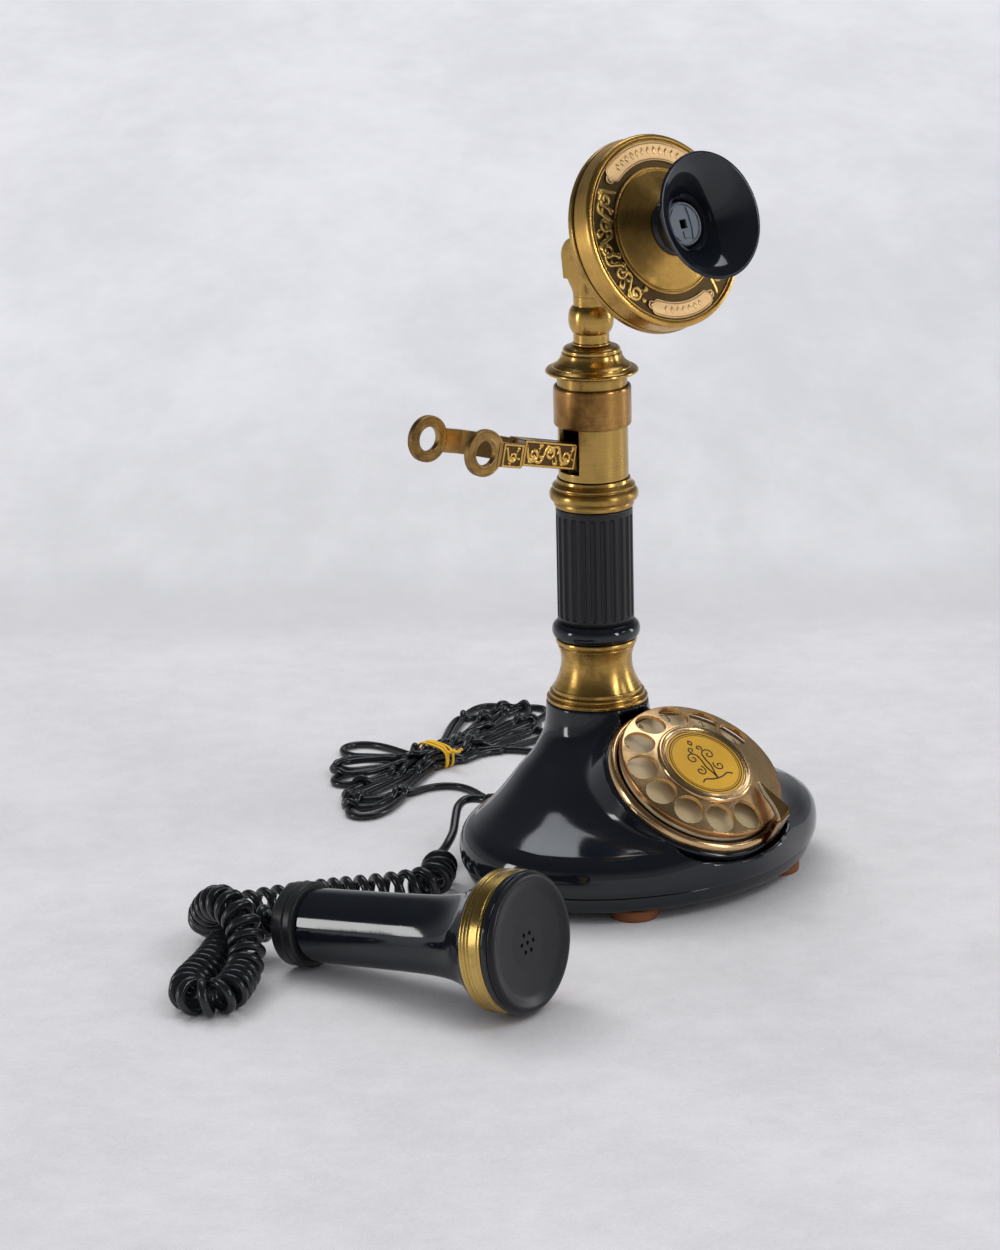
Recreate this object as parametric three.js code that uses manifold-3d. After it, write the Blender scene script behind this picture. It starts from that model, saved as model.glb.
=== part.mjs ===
// Candlestick rotary telephone: stand, tilting transmitter head, switch hook, dial,
// separate receiver, curly receiver cord and tied line cord.
// Millimetres, +Z up. The column axis is x = y = 0 while the model is built, the dial and
// mouthpiece face -Y and the switch hook points to -X. The last lines shift the whole group
// so that the table is z = 0 and the stand with its receiver is centred in X and Y.
import * as THREE from 'three';
import { mergeVertices } from 'three/addons/utils/BufferGeometryUtils.js';
import Module from 'manifold-3d';

const wasm = await Module();
wasm.setup();

// ---------------------------------------------------------------- driving dimensions
const GAP = 0.3; // clearance kept between touching pieces
const DEG = Math.PI / 180;

const FOOT_HEIGHT = 5;
const PARTING_Z = 13.3; // joint between the bottom plate and the base shell
const BASE_CENTRE_Y = -26.4; // the oval base sits forward of the column
const BASE_HALF_X = 86.3;
const BASE_HALF_Y = 68.4;
const COLUMN_FOOT_Z = 74.6;
const COLUMN_FOOT_R = 22.8;

const DIAL_ELEVATION = 56.35 * DEG; // of the dial's normal above the horizontal
const DIAL_CENTRE = new THREE.Vector3(0, -66.84, 55.87);
const WHEEL_R = 38;
const FINGER_HOLE_R = 6.75;
const FINGER_HOLE_CIRCLE_R = 30;
const FINGER_HOLE_FIRST = 23; // degrees, hole 1
const FINGER_HOLE_STEP = 27.95;
const FINGER_STOP_ANGLE = -58;

const HOOK_PIVOT_Z = 185;
const HOOK_LIFT = 13.8 * DEG;
const HOOK_EYE_X = -81.7; // along the lever from its pivot
const HOOK_EYE_R = 10.2;
const HOOK_EYE_HOLE_R = 5.4;
const FORK_HALF_OUTER = 20;
const ARM_THICKNESS = 3;

const HEAD_PIVOT_Z = 275.5;
const HEAD_TILT = 20 * DEG;
const HEAD_R = 42.2;

const RECEIVER_TAIL = new THREE.Vector3(-184.9, -11.1, 17.8);
const RECEIVER_AZIMUTH = -75.5 * DEG;
const RECEIVER_SLOPE = 6.5 * DEG;

const CORD_R = 2; // wire of the curly cord
const COIL_R = 8.2; // outside of its turns
const LINE_R = 1.6; // line cord

const SEG = 24; // sides of most turned pieces
const SMALL_SEG = 12;

// ---------------------------------------------------------------- materials
function finish(color, roughness, metalness) {
  return new THREE.MeshStandardMaterial({ color, roughness, metalness });
}
const BRASS = finish(0xa8873f, 0.34, 0.95);
const COPPER = finish(0xb08d5c, 0.3, 0.95);
const BLACK_GLOSS = finish(0x0b0c10, 0.12, 0.0);
const BLACK_SATIN = finish(0x1b1b1d, 0.48, 0.0);
const CHAMPAGNE = finish(0xc9b68c, 0.4, 0.6);
const LABEL = finish(0xd8b21e, 0.4, 0.2);
const STEEL = finish(0x9a9a9c, 0.35, 1.0);
const BROWN_FOOT = finish(0x6a3d1c, 0.9, 0.0);
const CORD_BLACK = finish(0x101013, 0.3, 0.0);
const YELLOW_TIE = finish(0xe3a811, 0.55, 0.0);
const BOARD_GREEN = finish(0x27563a, 0.6, 0.0);
const CLEAR_PLASTIC = finish(0xd9dcdd, 0.2, 0.0);
const COPPER_WIRE = finish(0x9c4f22, 0.4, 0.8);

// ---------------------------------------------------------------- geometry helpers
function positionOnly(geometry) {
  const plain = geometry.clone();
  plain.deleteAttribute('normal');
  plain.deleteAttribute('uv');
  return mergeVertices(plain, 1e-3);
}

function toSolid(geometry) {
  const plain = positionOnly(geometry);
  return new wasm.Manifold(new wasm.Mesh({
    numProp: 3,
    vertProperties: new Float32Array(plain.attributes.position.array),
    triVerts: new Uint32Array(plain.index.array),
  }));
}

function fromSolid(solid) {
  const mesh = solid.getMesh();
  const geometry = new THREE.BufferGeometry();
  geometry.setAttribute('position', new THREE.BufferAttribute(mesh.vertProperties, 3));
  geometry.setIndex(new THREE.BufferAttribute(mesh.triVerts, 1));
  return geometry;
}

function join(...geometries) {
  return fromSolid(geometries.map(toSolid).reduce((a, b) => a.add(b)));
}

function cut(body, ...tools) {
  return fromSolid(tools.map(toSolid).reduce((a, b) => a.subtract(b), toSolid(body)));
}

function keepInside(body, tool) {
  return fromSolid(toSolid(body).intersect(toSolid(tool)));
}

// A piece turned about +Z: profile is a list of [radius, height].
function turned(profile, segments = SEG) {
  const points = profile.map(([r, z]) => new THREE.Vector2(r, z));
  return new THREE.LatheGeometry(points, segments).rotateX(Math.PI / 2);
}

// A solid or hollow disc between two heights.
function disc(r, z0, z1, segments = SEG) {
  return turned([[0, z0], [r, z0], [r, z1], [0, z1]], segments);
}

function ring(inner, outer, z0, z1, segments = SEG) {
  return turned([[inner, z0], [outer, z0], [outer, z1], [inner, z1], [inner, z0]], segments);
}

function block(x0, x1, y0, y1, z0, z1) {
  const box = new THREE.BoxGeometry(x1 - x0, y1 - y0, z1 - z0);
  return box.translate((x0 + x1) / 2, (y0 + y1) / 2, (z0 + z1) / 2);
}

// A rod along X or Y instead of Z.
function rodX(r, x0, x1, y = 0, z = 0, segments = SMALL_SEG) {
  return disc(r, x0, x1, segments).rotateY(Math.PI / 2).translate(0, y, z);
}

function rodY(r, y0, y1, x = 0, z = 0, segments = SMALL_SEG) {
  return disc(r, -y1, -y0, segments).rotateX(Math.PI / 2).translate(x, 0, z);
}

// A flat outline in XY raised from z0 to z1.
function plate(outline, z0, z1, curveSegments = 8) {
  const settings = { depth: z1 - z0, bevelEnabled: false, curveSegments };
  return new THREE.ExtrudeGeometry(outline, settings).translate(0, 0, z0);
}

function polygon(points) {
  return new THREE.Shape(points.map(([x, y]) => new THREE.Vector2(x, y)));
}

// A round cord through a list of points.
function cordTube(points, radius, sides, steps) {
  const circle = new THREE.Shape();
  circle.absarc(0, 0, radius, 0, 2 * Math.PI, false);
  const outline = new THREE.Shape(circle.getPoints(sides / 2).slice(0, sides));
  const path = new THREE.CatmullRomCurve3(points.map((p) => new THREE.Vector3(...p)));
  const settings = { steps, bevelEnabled: false, extrudePath: path };
  return new THREE.ExtrudeGeometry(outline, settings);
}

const phone = new THREE.Group();

function node(name, geometry, material, parent = phone) {
  const mesh = new THREE.Mesh(positionOnly(geometry), material);
  mesh.name = name;
  parent.add(mesh);
  return mesh;
}

// ---------------------------------------------------------------- base
// The shell is the smooth union of an oval bell and the tilted drum that carries the dial.
// BULGE lists height, half width and half depth of the oval rim; BELL lists height and how
// far the section is from the column foot (0) to the ridge of the rim (1).
const BULGE = [[4, 82, 64], [PARTING_Z, BASE_HALF_X, BASE_HALF_Y], [18, 87.3, 69.4],
  [24, 86.7, 68.8], [28, 84.4, 66.4], [30.4, 80.6, 62.6]];
const BELL = [[30.4, 1], [34.8, 0.8], [39.5, 0.63], [46, 0.425], [52, 0.22], [60, 0.06],
  [66, 0.015], [COLUMN_FOOT_Z, 0]];
const HOUSING_TOP = -9.3; // along the dial's normal, from the finger wheel's edge
const HOUSING_R = 41.8;
const HOUSING_FLARE = 0.22;
const BLEND = 13;
const WALL = 3;

function interpolate(rows, z, column) {
  if (z <= rows[0][0]) return rows[0][column];
  for (let i = 1; i < rows.length; i += 1) {
    const [z0, z1] = [rows[i - 1][0], rows[i][0]];
    if (z <= z1) {
      const t = (z - z0) / (z1 - z0);
      return rows[i - 1][column] + t * (rows[i][column] - rows[i - 1][column]);
    }
  }
  return rows[rows.length - 1][column];
}

function ovalSection(z) {
  if (z < BELL[0][0]) {
    return [interpolate(BULGE, z, 1), interpolate(BULGE, z, 2), BASE_CENTRE_Y];
  }
  const w = interpolate(BELL, z, 1);
  const rim = BULGE[BULGE.length - 1];
  return [
    COLUMN_FOOT_R + w * (rim[1] - COLUMN_FOOT_R),
    COLUMN_FOOT_R + w * (rim[2] - COLUMN_FOOT_R),
    BASE_CENTRE_Y * w,
  ];
}

const dialNormal = new THREE.Vector3(0, -Math.cos(DIAL_ELEVATION), Math.sin(DIAL_ELEVATION));

// Signed distance, roughly in millimetres: negative inside the shell's outer form.
function baseField(p) {
  const [a, b, yc] = ovalSection(p.z);
  const radial = Math.hypot(p.x / a, (p.y - yc) / b);
  const oval = Math.max((radial - 1) * Math.min(a, b), p.z - COLUMN_FOOT_Z);
  const rel = p.clone().sub(DIAL_CENTRE);
  const h = rel.dot(dialNormal);
  const r = rel.addScaledVector(dialNormal, -h).length();
  const drum = Math.max(r - HOUSING_R - HOUSING_FLARE * (HOUSING_TOP - h), h - HOUSING_TOP);
  const k = Math.max(BLEND - Math.abs(oval - drum), 0) / BLEND;
  return Math.min(oval, drum) - k * k * BLEND * 0.25;
}

// Closed skin where baseField = -inset, found by stepping outwards from a point inside.
function baseSkin(inset, around, upwards) {
  const centre = new THREE.Vector3(0, -34, 24);
  const positions = [];
  const index = [];
  function reach(direction) {
    let [near, far] = [0, 140];
    for (let i = 0; i < 40; i += 1) {
      const middle = near + 2.5;
      if (baseField(centre.clone().addScaledVector(direction, middle)) > -inset) {
        far = middle;
        break;
      }
      near = middle;
    }
    for (let i = 0; i < 14; i += 1) {
      const middle = (near + far) / 2;
      if (baseField(centre.clone().addScaledVector(direction, middle)) > -inset) far = middle;
      else near = middle;
    }
    return near;
  }
  for (let j = 0; j <= upwards; j += 1) {
    const tilt = -Math.PI / 2 + (Math.PI * j) / upwards;
    const count = j === 0 || j === upwards ? 1 : around;
    for (let i = 0; i < count; i += 1) {
      const turn = (2 * Math.PI * i) / around;
      const d = new THREE.Vector3(
        Math.cos(tilt) * Math.cos(turn), Math.cos(tilt) * Math.sin(turn), Math.sin(tilt));
      // below the parting line the skin is a plain tub that the parting cut removes
      const length = j === 0 ? 20 : Math.min(reach(d), d.z < -0.05 ? 20 / -d.z : 200);
      const p = centre.clone().addScaledVector(d, length);
      positions.push(p.x, p.y, p.z);
    }
  }
  function vertex(j, i) {
    if (j === 0) return 0;
    if (j === upwards) return 1 + (upwards - 1) * around;
    return 1 + (j - 1) * around + (i % around);
  }
  for (let j = 0; j < upwards; j += 1) {
    for (let i = 0; i < around; i += 1) {
      const [a, b] = [vertex(j, i), vertex(j, i + 1)];
      const [c, d] = [vertex(j + 1, i + 1), vertex(j + 1, i)];
      if (j > 0) index.push(a, b, c);
      if (j < upwards - 1) index.push(a, c, d);
    }
  }
  const geometry = new THREE.BufferGeometry();
  geometry.setAttribute('position', new THREE.Float32BufferAttribute(positions, 3));
  geometry.setIndex(index);
  return geometry;
}

const COLUMN_BORE = 4.8; // passage for the tie tube
const BOSS_SPOTS = [[-60, -50], [60, -50]];
const FOOT_SPOTS = [[-43, -69], [43, -69], [-43, 17], [43, 17]];
const GROMMET_Z = 20;
const RECEIVER_CORD_ENTRY = new THREE.Vector3(-21.7, 40.7, GROMMET_Z);
const RECEIVER_CORD_OUT = new THREE.Vector3(-0.2, 0.98, 0).normalize();
const LINE_CORD_ENTRY = new THREE.Vector3(0, 43, GROMMET_Z);
const LINE_CORD_OUT = new THREE.Vector3(0, 1, 0);

// Turns a piece built along +Z so that it points along a direction and starts at a place.
function aim(geometry, place, direction) {
  const turn = new THREE.Quaternion();
  turn.setFromUnitVectors(new THREE.Vector3(0, 0, 1), direction);
  return geometry.applyQuaternion(turn).translate(place.x, place.y, place.z);
}

function dialPiece(geometry) {
  return aim(geometry, DIAL_CENTRE, dialNormal);
}

function baseShell() {
  const bosses = BOSS_SPOTS.map(([x, y]) => disc(4, 10, 34, SMALL_SEG).translate(x, y, 0));
  const cavity = baseSkin(WALL, 28, 16);
  const shell = cut(baseSkin(0, 56, 34), cavity);
  const above = block(-120, 120, -130, 80, PARTING_Z, COLUMN_FOOT_Z - GAP);
  const bossed = keepInside(join(shell, ...bosses), join(above, ...bosses));
  const trimmed = keepInside(bossed, join(baseSkin(0.6, 56, 34), above));
  return cut(
    trimmed,
    ...BOSS_SPOTS.map(([x, y]) => disc(2.3, 9, 24, 8).translate(x, y, 0)),
    dialPiece(disc(36.8, -16, 10, 32)),
    dialPiece(disc(43.6, HOUSING_TOP, 12, 40)),
    disc(COLUMN_BORE, 60, 80, 16),
    block(-52, -40, 22, 40, 37.4, 42.4),
    aim(disc(4.3, -12, 9, SMALL_SEG), RECEIVER_CORD_ENTRY, RECEIVER_CORD_OUT),
    aim(disc(4.3, -12, 9, SMALL_SEG), LINE_CORD_ENTRY, LINE_CORD_OUT),
  );
}

function bottomPlate() {
  const profile = [[0, 5.3], [0.925, 5.3], [0.955, 7.5], [0.985, 12.99], [0.94, 12.99],
    [0.915, 8.6], [0, 8.6]];
  const tray = turned(profile, 44).scale(BASE_HALF_X, BASE_HALF_Y, 1);
  return cut(
    tray.translate(0, BASE_CENTRE_Y, 0),
    ...BOSS_SPOTS.map(([x, y]) => disc(2.3, 0, 12, 8).translate(x, y, 0)),
    ...BOSS_SPOTS.map(([x, y]) => disc(4.4, 0, 6.9, SMALL_SEG).translate(x, y, 0)),
  );
}

node('base_shell', baseShell(), BLACK_GLOSS);
node('bottom_plate', bottomPlate(), BLACK_GLOSS);
FOOT_SPOTS.forEach(([x, y], i) => {
  node(`foot_${i + 1}`, disc(10.5, 0, FOOT_HEIGHT, 20).translate(x, y, 0), BROWN_FOOT);
});
BOSS_SPOTS.forEach(([x, y], i) => {
  const screw = join(disc(2, 5.4, 20, 8), disc(4.1, 5.4, 6.6, SMALL_SEG));
  node(`plate_screw_${i + 1}`, screw.translate(x, y, 0), STEEL);
});
node('base_weight', block(-32, 32, -12, 24, 8.9, 13.8), STEEL);

// A flanged bush round a cord, with a tapered tail outside the wall.
function cordBush(cordR) {
  const bore = cordR + GAP;
  return turned([[bore, -7.6], [5.4, -7.6], [5.4, -6.4], [4, -6.4], [4, 1.3], [5, 1.3],
    [4.6, 2.6], [bore + 0.8, 10], [bore, 10], [bore, -7.6]], SMALL_SEG);
}
node('receiver_cord_bush', aim(cordBush(CORD_R), RECEIVER_CORD_ENTRY, RECEIVER_CORD_OUT),
  BLACK_SATIN);
node('line_cord_bush', aim(cordBush(LINE_R), LINE_CORD_ENTRY, LINE_CORD_OUT), BLACK_SATIN);

// ---------------------------------------------------------------- bell and circuit
const GONG_SPOTS = [[-27, 7], [27, 7]];
GONG_SPOTS.forEach(([x, y], i) => {
  const bowl = [[2.3, 35.5], [5, 35.5], [11.2, 34.2], [14.6, 31.4], [15.6, 26], [17, 26],
    [16, 32], [12, 35.5], [5, 37], [2.3, 37], [2.3, 35.5]];
  node(`gong_${i + 1}`, turned(bowl, 20).translate(x, y, 0), BRASS);
});
const CLAPPER_POST = [0, 22];
node('ringer_frame', join(
  block(-33, 33, -2, 26, 14.1, 16),
  ...GONG_SPOTS.map(([x, y]) => disc(2, 15, 38.5, 8).translate(x, y, 0)),
  disc(1.2, 15, 35.5, 8).translate(CLAPPER_POST[0], CLAPPER_POST[1], 0),
), STEEL);
node('ringer_coil', block(-7, 7, 6, 18, 16.3, 28), COPPER_WIRE);
node('clapper', join(
  ring(1.5, 3, 31.5, 34.5, SMALL_SEG).translate(CLAPPER_POST[0], CLAPPER_POST[1], 0),
  rodY(0.9, 4, 20, 0, 33, 8),
  disc(2.6, 29.5, 34, SMALL_SEG).translate(0, 3, 0),
), STEEL);
node('circuit_board', block(-32, 32, -46, -15, 19, 20.6), BOARD_GREEN);

// ---------------------------------------------------------------- column
node('lower_ferrule', turned([[COLUMN_BORE, COLUMN_FOOT_Z], [22.3, COLUMN_FOOT_Z],
  [22.7, 75.3], [22.4, 76.5], [21.2, 76.9], [21.4, 77.8], [21.1, 78.6], [19.9, 79.2],
  [19.8, 80.9], [18, 83.5], [16.5, 87], [15.8, 90.5], [15.8, 95], [16.6, 98], [17.9, 100.6],
  [18.1, 102], [17.9, 103.2], [COLUMN_BORE, 103.2], [COLUMN_BORE, COLUMN_FOOT_Z]]), BRASS);

const FLUTES = 24;
const FLUTE_DEPTH = 1.2;
const fluteOutline = [];
for (let i = 0; i < FLUTES; i += 1) {
  for (const [step, depth] of [[0, 0], [0.34, 0], [0.5, FLUTE_DEPTH], [0.84, FLUTE_DEPTH]]) {
    const turn = (2 * Math.PI * (i + step)) / FLUTES;
    fluteOutline.push([(17 - depth) * Math.cos(turn), (17 - depth) * Math.sin(turn)]);
  }
}
const sleeveBead = turned([[0, 103.5], [17.5, 103.5], [19.3, 105], [19.7, 107.1],
  [19.2, 109.4], [17.4, 111.1], [0, 111.1]]);
node('fluted_sleeve', cut(join(plate(polygon(fluteOutline), 110.9, 163.5), sleeveBead),
  disc(COLUMN_BORE, 100, 165, 16)), BLACK_SATIN);
node('stepped_collar', turned([[COLUMN_BORE, 163.8], [17.4, 163.8], [17.4, 167.6],
  [19.3, 168.8], [19.7, 170.4], [19.2, 171.7], [18.2, 172.1], [18.4, 173.4], [17.9, 174.4],
  [16.3, 175.3], [15.8, 176.5], [9.4, 176.5], [9.4, 171.9], [COLUMN_BORE, 171.9],
  [COLUMN_BORE, 163.8]]), BRASS);
node('tie_tube', turned([[3.2, 66.6], [8.5, 66.6], [8.5, 69.6], [4.5, 69.6], [4.5, 176.6],
  [3.2, 176.6], [3.2, 66.6]], 16), STEEL);
node('tie_nut', cut(disc(8.8, 172.2, 176.3, 6), disc(COLUMN_BORE, 170, 180, 16)), STEEL);

const TUBE_INNER_R = 13.3;
const TUBE_OUTER_R = 15.5;
node('switch_tube', cut(ring(TUBE_INNER_R, TUBE_OUTER_R, 176.8, 223.2, 32),
  block(-20, -8, -6.2, 6.2, 180.3, 202),
  rodY(2.3, -20, 20, 0, HOOK_PIVOT_Z)), BRASS);
node('column_band', ring(TUBE_OUTER_R + GAP, 17.1, 200.5, 218.1, 32), BRASS);
node('column_cap', turned([[COLUMN_BORE, 223.5], [20.3, 223.5], [20.8, 224.4], [20.4, 225.5],
  [17, 227], [14.4, 229.6], [13.1, 232.4], [12.4, 234.4], [9.5, 235.8], [COLUMN_BORE, 236],
  [COLUMN_BORE, 223.5]]), BRASS);

const EAR_INNER = 4.3;
const EAR_OUTER = 9;
const neckTurned = turned([[0, 218], [4.5, 218], [4.5, 236.3], [8, 236.3], [8, 241.2],
  [9.4, 243.2], [10, 246], [10, 249.2], [9.4, 251.6], [8, 253.4], [7.9, 262], [0, 262]]);
node('neck_stem', cut(
  join(neckTurned, block(-EAR_OUTER, EAR_OUTER, -7.4, 7.4, 260.5, HEAD_PIVOT_Z),
    rodX(EAR_OUTER, -EAR_OUTER, EAR_OUTER, 0, 0, 20).translate(0, 0, HEAD_PIVOT_Z)),
  block(-EAR_INNER, EAR_INNER, -12, 12, HEAD_PIVOT_Z - 8.7, HEAD_PIVOT_Z + 12),
  rodX(2.8, -12, 12, 0, HEAD_PIVOT_Z),
), BRASS);

// ---------------------------------------------------------------- switch hook
const hook = new THREE.Group();
hook.position.set(0, 0, HOOK_PIVOT_Z);
hook.rotation.y = HOOK_LIFT;
phone.add(hook);

const forkTop = [[8, 5], [-46.6, 5], [-60, FORK_HALF_OUTER], [-84, FORK_HALF_OUTER]];
const forkInner = [[-84, FORK_HALF_OUTER - ARM_THICKNESS],
  [-61.4, FORK_HALF_OUTER - ARM_THICKNESS], [-50.4, 4.6]];
const forkPlan = [...forkTop, ...forkInner];
const forkOutline = [...forkPlan, ...forkPlan.map(([x, y]) => [x, -y]).reverse()];
const leverSide = polygon([[8, 5.75], [-46, 5.75], [-48, 5.2], [-76, 5.2], [-76, -5.2],
  [-48, -5.2], [-46, -5.75], [8, -5.75]]);
function eyeDisc(radius, segments) {
  return rodY(radius, -FORK_HALF_OUTER, FORK_HALF_OUTER, HOOK_EYE_X, 0, segments);
}
const leverBar = keepInside(plate(polygon(forkOutline), -6, 6),
  plate(leverSide, -30, 30).rotateX(Math.PI / 2));
const eyeGap = block(-110, -60, ARM_THICKNESS - FORK_HALF_OUTER,
  FORK_HALF_OUTER - ARM_THICKNESS, -20, 20);
node('hook_lever', cut(
  join(leverBar, cut(eyeDisc(HOOK_EYE_R, 20), eyeGap)),
  rodY(HOOK_EYE_HOLE_R, -30, 30, HOOK_EYE_X, 0, 16),
  rodY(2.3, -30, 30),
), BRASS, hook);
node('hook_pivot_pin', rodY(2, -15.2, 15.2, 0, HOOK_PIVOT_Z), STEEL);
node('hook_torsion_spring', ring(2.4, 3.8, -8.6, -5.6, SMALL_SEG).rotateX(Math.PI / 2)
  .translate(0, 0, HOOK_PIVOT_Z), STEEL);
const PLUNGER_X = 5;
node('hook_switch', cut(block(-3, 10, -5, 5, 193.4, 212),
  disc(1.8, 190, 206, 8).translate(PLUNGER_X, 0, 0)), BLACK_SATIN);
node('switch_plunger', disc(1.4, 190.35, 202, 8).translate(PLUNGER_X, 0, 0), CLEAR_PLASTIC);

// ---------------------------------------------------------------- transmitter head
const head = new THREE.Group();
head.position.set(0, 0, HEAD_PIVOT_Z);
head.rotation.x = Math.PI / 2 - HEAD_TILT;
phone.add(head);

const bowl = turned([[0, 19.6], [9, 21.6], [20, 25.2], [30, 29.8], [37.5, 34.4], [41.4, 37.1],
  [42.6, 37.8], [42.6, 40.7], [39.6, 40.7], [39.2, 38.4], [35, 35.4], [28, 31.4], [18, 27],
  [0, 23.4]], 32);
const lug = join(rodX(8, -4, 4, 0, 0, 20), block(-4, 4, -7.6, 7.6, 0, 23));
node('head_rear_cup', cut(join(bowl, lug), rodX(2.8, -6, 6)), BRASS, head);
node('head_bezel', turned([[9.8, 54.6], [26.6, 48.8], [39.4, 48.8], [39.4, 41], [HEAD_R, 41],
  [HEAD_R, 50.5], [41.5, 51.15], [39.6, 51.15], [38.8, 50.5], [27.6, 50.5], [26.8, 51.3],
  [12.6, 56.6], [9.8, 56.6], [9.8, 54.6]], 32), BRASS, head);
node('transmitter_capsule', disc(27, 36, 46), STEEL, head);
node('mouthpiece', turned([[8.2, 51], [9.4, 51], [9.4, 56.9], [12.4, 56.9], [11.4, 59.6],
  [12, 65], [15.5, 71], [21, 77], [27.4, 80], [27.6, 80.7], [26.4, 81], [25.4, 80.6],
  [19, 76.4], [13.2, 70], [10.3, 65], [10, 61.3], [8.2, 61.3], [8.2, 51]], 28), BLACK_GLOSS,
head);
node('mouthpiece_insert', cut(disc(9.5, 61.6, 63, 20), block(-2.4, 2.4, -2.4, 2.4, 60, 65),
  block(-7.5, -4, -1, 1, 60, 65), block(4, 7.5, -1, 1, 60, 65)), BLACK_SATIN, head);
node('tilt_bolt', join(rodX(2.5, -8.6, 10, 0, HEAD_PIVOT_Z),
  rodX(4.6, 9.3, 12, 0, HEAD_PIVOT_Z)), STEEL);

// ---------------------------------------------------------------- dial
const dial = new THREE.Group();
dial.position.copy(DIAL_CENTRE);
dial.rotation.x = Math.PI / 2 - DIAL_ELEVATION;
phone.add(dial);

function onCircle(r, degrees) {
  return [r * Math.cos(degrees * DEG), r * Math.sin(degrees * DEG)];
}

node('dial_bezel', turned([[37, -9], [40.4, -9], [40.7, -6.6], [40.2, -5.3], [39.2, -4.9],
  [37.8, -5.3], [37, -6.2], [37, -9]], 36), COPPER, dial);
node('dial_can', turned([[0, -28], [28.5, -28], [28.5, -8.6], [36.4, -8.6], [36.4, -5.6],
  [27, -5.6], [27, -26.5], [0, -26.5]], 32), STEEL, dial);
node('number_plate', ring(4.5, 36.5, -5.3, -4, 36), CHAMPAGNE, dial);
const wheelHoles = [];
for (let i = 0; i < 10; i += 1) {
  const [x, y] = onCircle(FINGER_HOLE_CIRCLE_R, FINGER_HOLE_FIRST + i * FINGER_HOLE_STEP);
  wheelHoles.push(disc(FINGER_HOLE_R, -8, 8, 14).translate(x, y, 0));
}
node('finger_wheel', cut(turned([[3.1, 0.8], [20, 0.8], [36.4, -2.4], [WHEEL_R, -2.4],
  [WHEEL_R, 0], [37, 0.9], [30, 2.5], [22.2, 4], [22.2, 5.2], [18.4, 5.2], [18.4, 4], [3.1, 4],
  [3.1, 0.8]], 36), ...wheelHoles), COPPER, dial);
node('label_disc', disc(18.1, 4.3, 4.9, 32), LABEL, dial);
node('dial_shaft', disc(2.8, -26.2, 4, SMALL_SEG), STEEL, dial);

const stopTip = onCircle(24.6, FINGER_STOP_ANGLE + 10);
node('finger_stop', join(
  plate(polygon([stopTip, [14.6, -24.5], [13.8, -31.2], [12.6, -37], [11, -40.4],
    [17.8, -38.2], [22.4, -35.6], [21, -30.8], [19.6, -24.6], [18.4, -18.9]].reverse()), 4.6, 5.8),
  cut(plate(polygon([[20, -38.2], [15.4, -34.8], [10, -36.8], [9.2, -41.6], [13.6, -40.6]]),
    -8.8, 5.7), disc(41.1, -20, 4.6, 40)),
), COPPER, dial);

// A spur gear outline with pointed teeth and running clearance.
function gearOutline(teeth, rootR, tipR, phase) {
  const points = [];
  for (let i = 0; i < teeth; i += 1) {
    for (const [step, r] of [[-0.22, rootR], [-0.07, tipR], [0.07, tipR], [0.22, rootR]]) {
      points.push(onCircle(r, ((i + step + phase) * 360) / teeth));
    }
  }
  return points;
}
const GOVERNOR_DISTANCE = 19.3;
node('drive_gear', cut(plate(polygon(gearOutline(45, 14.4, 15.6, 0)), -14, -11),
  disc(3.1, -20, 0, SMALL_SEG)), BRASS, dial);
node('governor', join(
  plate(polygon(gearOutline(12, 3.4, 4.5, 0.5)), -14, -11).translate(GOVERNOR_DISTANCE, 0, 0),
  disc(1.5, -26.2, -7, 8).translate(GOVERNOR_DISTANCE, 0, 0),
  disc(6, -22, -17, 16).translate(GOVERNOR_DISTANCE, 0, 0),
), BRASS, dial);
node('dial_return_spring', ring(4, 8.4, -24, -19, 20), STEEL, dial);

// ---------------------------------------------------------------- receiver
const receiver = new THREE.Group();
const receiverAxis = new THREE.Vector3(
  Math.cos(RECEIVER_AZIMUTH) * Math.cos(RECEIVER_SLOPE),
  Math.sin(RECEIVER_AZIMUTH) * Math.cos(RECEIVER_SLOPE),
  Math.sin(RECEIVER_SLOPE),
);
// its own +Y is kept as near upright as the slope allows
const receiverSide = new THREE.Vector3(0, 0, 1).cross(receiverAxis).normalize();
const receiverUp = receiverAxis.clone().cross(receiverSide);
receiver.matrix.makeBasis(receiverSide, receiverUp, receiverAxis);
receiver.quaternion.setFromRotationMatrix(receiver.matrix);
receiver.position.copy(RECEIVER_TAIL);
phone.add(receiver);

node('receiver_body', turned([[6, 11.9], [15.6, 11.9], [15.9, 30], [16.3, 60], [16.6, 76],
  [17.6, 84], [20, 91.5], [24, 98.2], [28, 103.6], [28.6, 105.2], [26.4, 105.2], [23.4, 100],
  [17.8, 93], [15.2, 85], [14, 76], [13.2, 14], [6, 14], [6, 11.9]], 26), BLACK_GLOSS,
receiver);
node('tail_collar', turned([[5.3, 0], [17.4, 0], [17.8, 0.5], [17.8, 6.6], [18.2, 7],
  [18.2, 11.2], [17.8, 11.6], [5.3, 11.6], [5.3, 0]], 26), BLACK_SATIN, receiver);
node('receiver_band', turned([[25, 105.5], [29.2, 105.5], [29.7, 106.4], [29.3, 107.2],
  [29.8, 108], [29.4, 108.8], [29.8, 109.6], [29.8, 115.6], [29.3, 116.3], [25, 116.3],
  [25, 105.5]], 30), BRASS, receiver);
const capHoles = [[0, 0], [4, 0], [-4, 0], [2, 3.5], [-2, 3.5], [2, -3.5], [-2, -3.5]];
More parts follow.
